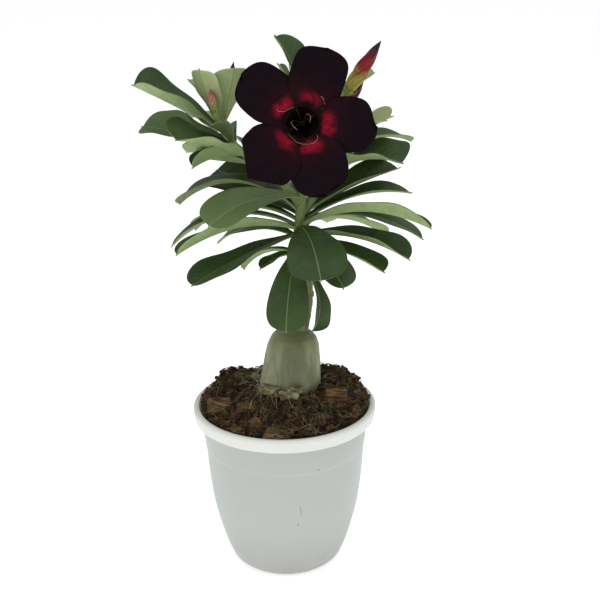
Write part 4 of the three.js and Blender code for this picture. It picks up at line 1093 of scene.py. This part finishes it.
def leaf_skins(points, rows, pale, wave, seed):
    """Leaves: the midrib is an arc that bends evenly from its rise by its droop. Across it the blade
    folds up by a power of the distance from the rib, waves toward its margin, and is thickest at the
    rib, grooved above and ridged below."""
    rows = np.array(rows, float)
    rng = np.random.default_rng(seed)
    count = len(rows)
    at, azimuth, rise, droop, length, width, fold, roll = rows.T[:, :, None]
    t = np.linspace(0, 1, BLADE_STATIONS)
    s = np.concatenate([1 - (1 - t) ** 1.7, [1, 1]])[None] * np.ones((count, 1))
    s[:, -2:] += np.array([0.5, 1.0]) * POINT_LENGTH / length
    within = np.minimum(s, 1)
    climb, bend = np.radians(rise), np.radians(np.where(droop == 0, 0.1, droop))
    slope = climb - bend * s
    reach = length * (np.sin(climb) - np.sin(slope)) / bend
    height = length * (np.cos(slope) - np.cos(climb)) / bend
    turn, z = np.radians(azimuth), np.array([0, 0, 1.0])
    out = np.stack([np.cos(turn), np.sin(turn), 0 * turn], -1)
    side = np.stack([-np.sin(turn), np.cos(turn), 0 * turn], -1)
    rib = spline(points, at) + out * reach[..., None] + z * height[..., None]
    along = out * np.cos(slope)[..., None] + z * np.sin(slope)[..., None]
    up = np.cross(along, np.broadcast_to(side, along.shape))
    lean = np.radians(roll)[..., None] + rng.normal(0, 0.05, (count, 1, 1)) * within[..., None]
    side, up = side * np.cos(lean) + up * np.sin(lean), up * np.cos(lean) - side * np.sin(lean)

    half = np.sqrt((1.3 * (1 - within)) ** 2 + (width / 2 * blade_outline(within)) ** 2 + 0.35**2)
    half[:, -2:] = [0.32, 0.1]
    v = np.concatenate([BLADE_ACROSS[::-1], -BLADE_ACROSS[1:]])
    v = np.concatenate([v, v[::-1][1:-1]])
    under = np.concatenate([np.zeros(2 * len(BLADE_ACROSS) - 1), np.ones(2 * len(BLADE_ACROSS) - 3)])
    face = 1 - 2 * under
    s3, half3 = within[..., None], half[..., None]
    lift = np.radians(fold)[..., None] * (1 - 0.25 * s3)
    phase = rng.uniform(0, 2 * np.pi, (count, 1, 1)) + np.where(v < 0, 1.9, 0)
    cycles = rng.uniform(1.3, 2.6, (count, 1, 1))
    ruffle = wave * half3 * v**2 * np.sin(2 * np.pi * cycles * s3 + phase) * np.clip(s3 * 3, 0, 1)
    lop = 1 + rng.normal(0, 0.035, (count, 1, 1)) * np.sign(v)
    evenness = 2 + 12 * np.minimum(3 * s3, 1)
    thick = (0.75 + 1.6 * (1 - s3) ** 3) / 2 * np.sqrt(np.maximum(1 - np.abs(v) ** evenness, 0.02))
    from_rib = v * half3
    blade = np.clip(s3 * 4, 0, 1) * np.clip((1 - s3) * 6, 0, 1)
    ridge = -0.5 * np.exp(-(from_rib**2)) * (1 - 0.5 * s3)
    groove = -0.4 * np.exp(-((from_rib / 0.8) ** 2))
    crease = blade * np.where(under > 0, ridge, groove)
    rise_up = half3 * np.abs(v) ** 1.25 * np.sin(lift) + ruffle + face * thick + crease
    aside = from_rib * lop * np.cos(lift)
    rings = rib[:, :, None] + side[:, :, None] * aside[..., None] + up[:, :, None] * rise_up[..., None]
    shape = rings.shape[:3]
    young = ((at > 0.8) & (length < 56)) * (0.55 + 0.45 * rng.uniform(0, 1, (count, 1)))
    # The listed rows get painted sheen; the others get a small random tint.
    tint_and_sheen = np.array([pale.get(k, 0.2 * rng.uniform()) for k in range(count)])[:, None, None]
    ones = np.ones(shape)
    data = {
        "blade": np.stack(np.broadcast_arrays(from_rib * ones, (s * length)[..., None], half3), -1),
        "face": np.stack(np.broadcast_arrays(under * ones, tint_and_sheen, young[..., None]), -1),
        "tip": np.clip((s - 1) * length / POINT_LENGTH, 0, 1)[..., None] * ones,
    }
    return skin(rings, **data)


def build_leaves(settings):
    """The leaves of each shoot: those of its table, and those at its back."""
    green = leaf_skin(settings)
    shoots = (
        ("shoot_centre", MAIN_STEM, MAIN_LEAVES, MAIN_BACK, MAIN_SHEEN, 81),
        ("shoot_left", LEFT_SHOOT, LEFT_LEAVES, LEFT_BACK, LEFT_SHEEN, 83),
        ("shoot_right", RIGHT_SHOOT, RIGHT_LEAVES, RIGHT_BACK, {}, 85),
    )
    for node, points, rows, back, pale, seed in shoots:
        made = leaf_skins(points, [*rows, *back_rows(*back)], pale, settings.margin_wave, seed)
        make_piece(node.replace("shoot", "leaves"), [made], green, [node])


# ---- Flower ----

PETAL_ACROSS = 33  # points across each face of a petal


def flower_place(points):
    """Points of the flower's own frame, origin in its throat and +Z along its axis, in the plant's frame."""
    return points @ turn_about_x(FLOWER_TURN).T + FLOWER_PLACE


def petal_skins(ruffle):
    """Petals: each widens fast from the throat to a squarish blade, dished along its middle, turned back
    at its end and leaning so that one side lies over its neighbour, with a coarse and a fine wave that
    grow toward the margin."""
    t = np.linspace(0, 1, 44)
    s = (1 - (1 - t) ** 1.6)[None, :, None]
    bearing, reach, width, trim, skew, square, flush = np.array(PETALS, float).T[:, :, None, None]
    v = np.concatenate([np.linspace(1, -1, PETAL_ACROSS), np.linspace(-1, 1, PETAL_ACROSS)[1:-1]])
    under = np.concatenate([np.zeros(PETAL_ACROSS), np.ones(PETAL_ACROSS - 2)])
    out = THROAT - PETAL_LAP + (reach - THROAT + PETAL_LAP) * s
    opening = np.sin(np.minimum(1, s / 0.42) * np.pi / 2)
    grow = PETAL_FOOT + (width / 2 - PETAL_FOOT) * opening
    half = grow * np.maximum(1 - s**square, 0.0004) ** 0.5
    number = np.arange(len(PETALS))[:, None, None]
    # The root follows the round mouth of the tube.
    root = (1 - s) ** 5 * (THROAT - PETAL_LAP - np.sqrt((THROAT + 0.2) ** 2 - (PETAL_FOOT * v) ** 2))
    x = out - trim * (v - skew) ** 2 * s**3 - root
    z = -2.6 + 4.4 * opening - 4 * s**3 - 3.2 * (1 - v**2) * s * (1 - s)
    z = z + 0.8 * np.sin(5 * s + 2.4 * v) * v**2 * s + half * v * math.sin(math.radians(PETAL_SLANT)) * s
    margin = np.maximum(np.abs(v) ** 4, s**10) * s
    z = z + ruffle * margin * np.sin(9 * s + 7 * v * s + 1.7 * number)
    z = z + 0.5 * ruffle * margin * np.sin(21 * s - 9 * v + number)
    y = half * v + 0 * number
    thick = 0.4 * np.sqrt(np.maximum(1 - np.abs(v) ** 12, 0.03)) * (1 - 0.5 * s**6)
    rings = np.stack(np.broadcast_arrays(x, y, z + (1 - 2 * under) * thick), -1)
    turned = np.stack([rings[k] @ turn_about_z(a).T for k, a in enumerate(bearing.ravel())])
    facts = np.stack(np.broadcast_arrays(np.hypot(x, y), v * np.ones_like(y), under * np.ones_like(y)), -1)
    return skin(flower_place(turned), petal=facts, flush=flush * np.ones_like(z * thick))


def tube_skin():
    """The corolla's tube: a funnel turned about the flower's axis, with a rolled mouth and a closed foot."""
    outer = [(r, z) for z, r in TUBE_SIDE]
    inner = [(r - 0.8, z + 0.3) for z, r in TUBE_SIDE[1:]][::-1]
    profile = rounded([(POLE, TUBE_SIDE[0][0]), *outer, *inner, (1.9, -36.5), (POLE, -37.5)], 1.6)
    rings = lathe(profile, 72)
    ridge = 1 + 0.035 * np.cos(5 * np.arctan2(rings[..., 1], rings[..., 0]))
    rings[..., :2] *= ridge[..., None]
    out = np.hypot(rings[..., 0], rings[..., 1])
    inside = np.arange(len(profile)) > len(outer) * CORNER_POINTS
    facts = np.stack([out, 0 * out, 0 * out + 0.35 * (~inside)[None, :, None]], -1)
    return skin(flower_place(rings), petal=facts, flush=np.full(out.shape, 0.6))


def anther_skins():
    """The anther cone, a turned profile ribbed five times, and its five downy tails, thin tubes that
    waver along their routes."""
    foot, top = ANTHER_SIDE[0][0], ANTHER_SIDE[-1][0]
    level = np.linspace(foot, top, 24)
    radius = through(ANTHER_SIDE, level)
    angle = bearings(40)
    ring = radius[:, None] * (1 + 0.12 * np.cos(5 * angle))
    cone = np.stack(np.broadcast_arrays(ring * np.cos(angle), ring * np.sin(angle), level[:, None]), -1)[None]
    share = ((level - foot) / (top - foot))[None, :, None] * np.ones((1, 1, 40))
    s = np.linspace(0, 1, 60)
    path = np.stack([spline(points, s) for points in TAILS])
    path = path + 0.25 * np.stack([ripples(path, 2.4, seed) for seed in (91, 92, 93)], -1)
    tails = tube(path, (0.36 - 0.22 * s)[None], 8, (0, 0, 1))
    return [
        skin(flower_place(cone), height=share * 0.3),
        skin(flower_place(tails), height=s[None, :, None] * np.ones(tails.shape[:3])),
    ]


def bud_place(foot, tip):
    """The turn that carries +Z to the way from foot to tip."""
    z = unit(np.array(tip, float) - np.array(foot, float))
    x = unit(np.cross([0, 0, 1], z))
    angle = math.acos(z[2])
    k = np.array([[0, -x[2], x[1]], [x[2], 0, -x[0]], [-x[1], x[0], 0]])
    return np.eye(3) + math.sin(angle) * k + (1 - math.cos(angle)) * k @ k


def calyx_skins(place, depth, radius, sepals, length, width, thick):
    """A small green cup with pointed sepals: a turned cup, and for each sepal a blade that narrows to a
    point and stands just clear of what the cup holds."""
    profile = [
        (0.3, -depth - 0.2), (STALK_RADIUS, -depth), (0.6 * radius, -0.72 * depth),
        (0.85 * radius, -0.4 * depth), (radius, -0.3), (radius - 0.5, 0.2), (0.4 * radius, -0.4),
    ]
    cup = lathe(rounded(profile, 0.5), 40)
    made = [skin(place(cup), height=np.zeros(cup.shape[:3]) + 0.05)]
    if not sepals:
        return made
    s = np.linspace(0, 1, 14)[None, :, None]
    v = np.concatenate([np.linspace(1, -1, 9), np.linspace(-1, 1, 9)[1:-1]])
    inner = np.concatenate([np.ones(9), -np.ones(7)])
    half = width / 2 * (1 - s**1.6) + 0.12
    clear = [(0, 0.7 * radius), (0.25, radius + 0.35), (1, radius + thick / 2 + 0.65)]
    out = through(clear, s[0, :, 0])[None, :, None]
    up = -0.55 * depth + (length - 1 + 0.55 * depth) * s
    body = thick / 2 * np.sqrt(np.maximum(1 - np.abs(v) ** 4, 0.05)) * (1 - 0.6 * s)
    x = out - 0.12 * half * v**2 - inner * body
    blade = np.stack(np.broadcast_arrays(x, half * v, up + 0 * v), -1)
    turned = np.concatenate([blade @ turn_about_z(360 * k / sepals).T for k in range(sepals)])
    made.append(skin(place(turned), height=s * np.ones(turned.shape[:3])))
    return made


def stalk_skin(start, place, depth):
    """A stalk: a tube that leaves the shoot upward and runs into the calyx along its axis."""
    foot, before = place(np.array([[0, 0, 0.6 - depth], [0, 0, -depth - 5.0]]))
    middle = (np.array(start, float) + before) / 2 - [0, 0, 0.5]
    path = spline([start, middle, before, foot], np.linspace(0, 1, 30))[None]
    rings = tube(path, np.linspace(STALK_RADIUS + 0.3, STALK_RADIUS, 30)[None], 16)
    return skin(rings, height=np.zeros(rings.shape[:3]))


def calyx_place(points):
    """Points of the calyx's own frame, origin at the foot of the corolla's tube, in the plant's frame."""
    return flower_place(points + [0, 0, TUBE_SIDE[0][0]])


def set_down(turn, foot, points):
    """Points of a bud's own frame, origin in its calyx and +Z toward its tip, in the plant's frame."""
    return points @ turn.T + foot


def build_flower(settings):
    """The open flower with its anthers, and the calyxes and stalks of the flower and the buds."""
    petals = petal_velvet(settings)
    made = [petal_skins(settings.ruffle / MM), tube_skin()]
    make_piece("petals", made, petals, ["corolla"])
    down = plant_skin("anther_down", "1c160e", "6a5046", "98686a", "241014", 0.8)
    make_piece("anthers", anther_skins(), down, ["anther_cone"])
    sepal = plant_skin("sepal_green", "8a9a50", "8a9450", "8f6a48", "5c6a34", 0.5)
    skins = calyx_skins(calyx_place, **CALYX) + [stalk_skin(MAIN_STEM[-1], calyx_place, CALYX["depth"])]
    for foot, tip, radius, start, sepals in BUDS.values():
        place = partial(set_down, bud_place(foot, tip), foot)
        cup = 0.55 * radius * 1.12 + 0.4
        skins += calyx_skins(place, radius=cup, sepals=sepals, **BUD_CALYX)
        skins.append(stalk_skin(start, place, BUD_CALYX["depth"]))
    make_piece("calyxes_and_stalks", skins, sepal)


def bud_skin(foot, tip, radius):
    """A closed bud: a spindle whose pleats wind round it on the way to its point."""
    length = float(np.linalg.norm(np.subtract(tip, foot)))
    s = np.linspace(0, 1, 46)[:, None]
    angle = bearings(60)
    swell = 0.55 * (1 - s) ** 2 + 2.1 * s**0.8 * np.maximum(1 - s, 0) ** 0.85
    ring = np.maximum(radius * np.minimum(swell, 1 - 0.04 * (s - 0.4) ** 2), 0.3)
    pleat = np.abs(np.cos(BUD_PLEATS / 2 * angle)) ** 1.5 * 2 - 1
    ring = ring * (1 + 0.12 * pleat * np.minimum(1, 4 * s) * (1 - 0.5 * s))
    turned = angle + np.radians(BUD_TWIST * s)
    rings = np.stack(np.broadcast_arrays(ring * np.cos(turned), ring * np.sin(turned), length * s), -1)[None]
    place = rings @ bud_place(foot, tip).T + foot
    # Painted shade: the seams where one pleat tucks under the next are marked for darkening.
    seam = np.clip(-pleat - 0.35, 0, 1) * np.minimum(1, 3 * s)
    return skin(place, height=s[None] * np.ones(place.shape[:3]), seam=seam[None] * np.ones(place.shape[:3]))


def build_buds():
    """The four buds, each in the colours of its age."""
    red = plant_skin("bud_skin_red", "a29a44", "86141e", "240c14", "3a0e14", 0.45)
    dark = plant_skin("bud_skin_dark", "74242a", "661a24", "3c1018", "300c14", 0.45)
    pink = plant_skin("bud_skin_pink", "a0a468", "b8786a", "8a4a3c", "7a4438", 0.45)
    brown = plant_skin("bud_skin_brown", "8f9358", "84503e", "281a16", "4a2c22", 0.5)
    finish = {"bud_large": (red, "bud_red"), "bud_small": (dark, "bud_red"),
              "bud_left_front": (pink, "bud_pink"), "bud_left_back": (brown, "bud_pink")}
    for name, (foot, tip, radius, _, _) in BUDS.items():
        material, slot = finish[name]
        make_piece(name + "_skin", [bud_skin(foot, tip, radius)], material, [name])


# ---- Stage ----

# Metres: half the width of the floor, and how far it turns up at its edges.
PAPER_REACH, PAPER_LIP = 13, 1


def build_stage(settings):
    """Pale paper floor, an even white surround, one overhead softbox and a weak front fill. The camera
    stands where the photographer's did."""
    paper, node = new_material("studio_paper")
    surface = node("BsdfPrincipled", {
        "Base Color": settings.floor_colour, "Roughness": 0.9, "Specular IOR Level": 0.1,
        "Emission Color": (1, 1, 1, 1), "Emission Strength": 0.5})
    node("OutputMaterial", [surface])
    mesh = bpy.data.meshes.new("studio_floor")
    corners = [(x, y, z) for z in (0, PAPER_LIP) for x, y in ((-1, -1), (1, -1), (1, 1), (-1, 1))]
    lip = [(k, k + 4, (k + 1) % 4 + 4, (k + 1) % 4) for k in range(4)]
    mesh.from_pydata([(x * PAPER_REACH, y * PAPER_REACH, z) for x, y, z in corners], [], [(0, 1, 2, 3), *lip])
    mesh.materials.append(paper)
    floor = bpy.data.objects.new("studio_floor", mesh)
    bpy.context.scene.collection.objects.link(floor)

    world = bpy.data.worlds.new("studio")
    bpy.context.scene.world = world
    world.use_nodes = True
    surround = world.node_tree.nodes["Background"]
    surround.inputs["Color"].default_value = (1, 1, 1, 1)
    surround.inputs["Strength"].default_value = settings.ambient

    for name, power, size, place, aim in (
        ("overhead_softbox", settings.overhead, 1.4, (0.1, -0.25, 1.5), (0, 0, 0.15)),
        ("front_fill", 0.25 * settings.overhead, 1.2, (-0.9, -1.3, 0.9), (0, 0, 0.2)),
    ):
        light = bpy.data.lights.new(name, "AREA")
        light.energy, light.size = power, size
        lamp = bpy.data.objects.new(name, light)
        lamp.location = place
        way = Vector(place) - Vector(aim)
        lamp.rotation_euler = way.to_track_quat("Z", "Y").to_euler()
        bpy.context.scene.collection.objects.link(lamp)

    data = bpy.data.cameras.new("camera")
    data.angle = math.radians(CAMERA_VIEW)
    data.clip_start, data.clip_end = 0.02, 60
    camera = bpy.data.objects.new("camera", data)
    pitch, roll = math.radians(CAMERA_PITCH), math.radians(CAMERA_ROLL)
    sight = Matrix.Rotation(math.pi / 2 - pitch, 4, "X") @ Matrix.Rotation(-roll, 4, "Z")
    camera.matrix_world = Matrix.Translation([c * MM for c in CAMERA_PLACE]) @ sight
    bpy.context.scene.collection.objects.link(camera)
    bpy.context.scene.camera = camera
    bpy.context.scene.view_settings.view_transform = "Standard"


# ---- Operators and panel ----


class DESERT_ROSE_OT_pot(bpy.types.Operator):
    """Builds the nursery pot with its rolled rim and drain holes"""

    bl_idname = "desert_rose.pot"
    bl_label = "Nursery pot"

    def execute(self, context):
        build_pot(context.scene.desert_rose_pot)
        return {"FINISHED"}


class DESERT_ROSE_OT_mix(bpy.types.Operator):
    """Builds the coir mix with its husk chips, strands and crumbs"""

    bl_idname = "desert_rose.mix"
    bl_label = "Potting mix"

    def execute(self, context):
        build_mix(context.scene.desert_rose_mix)
        return {"FINISHED"}


class DESERT_ROSE_OT_caudex(bpy.types.Operator):
    """Builds the swollen rootstock"""

    bl_idname = "desert_rose.caudex"
    bl_label = "Caudex"

    def execute(self, context):
        build_caudex(context.scene.desert_rose_stems)
        return {"FINISHED"}


class DESERT_ROSE_OT_stems(bpy.types.Operator):
    """Builds the grafted trunk and the green stems"""

    bl_idname = "desert_rose.stems"
    bl_label = "Trunk and stems"

    def execute(self, context):
        build_trunk(context.scene.desert_rose_stems)
        return {"FINISHED"}


class DESERT_ROSE_OT_leaves(bpy.types.Operator):
    """Builds the leaves of the three shoots"""

    bl_idname = "desert_rose.leaves"
    bl_label = "Leaves"

    def execute(self, context):
        build_leaves(context.scene.desert_rose_leaves)
        return {"FINISHED"}


class DESERT_ROSE_OT_flower(bpy.types.Operator):
    """Builds the open flower, its anthers, and the calyxes and stalks"""

    bl_idname = "desert_rose.flower"
    bl_label = "Flower"

    def execute(self, context):
        build_flower(context.scene.desert_rose_flower)
        return {"FINISHED"}


class DESERT_ROSE_OT_buds(bpy.types.Operator):
    """Builds the four closed buds"""

    bl_idname = "desert_rose.buds"
    bl_label = "Buds"

    def execute(self, context):
        build_buds()
        return {"FINISHED"}


class DESERT_ROSE_OT_stage(bpy.types.Operator):
    """Sets the floor, the lights and the camera"""

    bl_idname = "desert_rose.stage"
    bl_label = "Studio"

    def execute(self, context):
        build_stage(context.scene.desert_rose_stage)
        return {"FINISHED"}


OPERATORS = (
    DESERT_ROSE_OT_pot, DESERT_ROSE_OT_mix, DESERT_ROSE_OT_caudex, DESERT_ROSE_OT_stems,
    DESERT_ROSE_OT_leaves, DESERT_ROSE_OT_flower, DESERT_ROSE_OT_buds, DESERT_ROSE_OT_stage,
)


class DESERT_ROSE_PT_panel(bpy.types.Panel):
    """Lists the pieces of the potted desert rose and their settings"""

    bl_idname = "DESERT_ROSE_PT_panel"
    bl_label = "Desert rose"
    bl_space_type = "VIEW_3D"
    bl_region_type = "UI"
    bl_category = "Desert rose"

    def draw(self, context):
        for operator in OPERATORS:
            self.layout.operator(operator.bl_idname)
        for key, group in SETTINGS.items():
            box = self.layout.box()
            for setting in group.__annotations__:
                box.prop(getattr(context.scene, key), setting)


CLASSES = (*SETTINGS.values(), *OPERATORS, DESERT_ROSE_PT_panel)


def register():
    """Registers the classes and puts their settings on the scene."""
    for each in CLASSES:
        bpy.utils.register_class(each)
    for key, group in SETTINGS.items():
        setattr(bpy.types.Scene, key, bpy.props.PointerProperty(type=group))


def unregister():
    """Takes the settings off the scene and unregisters the classes."""
    for key in SETTINGS:
        delattr(bpy.types.Scene, key)
    for each in reversed(CLASSES):
        bpy.utils.unregister_class(each)


def main():
    """Builds the stage and every piece with its default settings."""
    register()
    bpy.ops.desert_rose.stage()
    bpy.ops.desert_rose.pot()
    bpy.ops.desert_rose.mix()
    bpy.ops.desert_rose.caudex()
    bpy.ops.desert_rose.stems()
    bpy.ops.desert_rose.leaves()
    bpy.ops.desert_rose.flower()
    bpy.ops.desert_rose.buds()


if __name__ == "__main__":
    main()
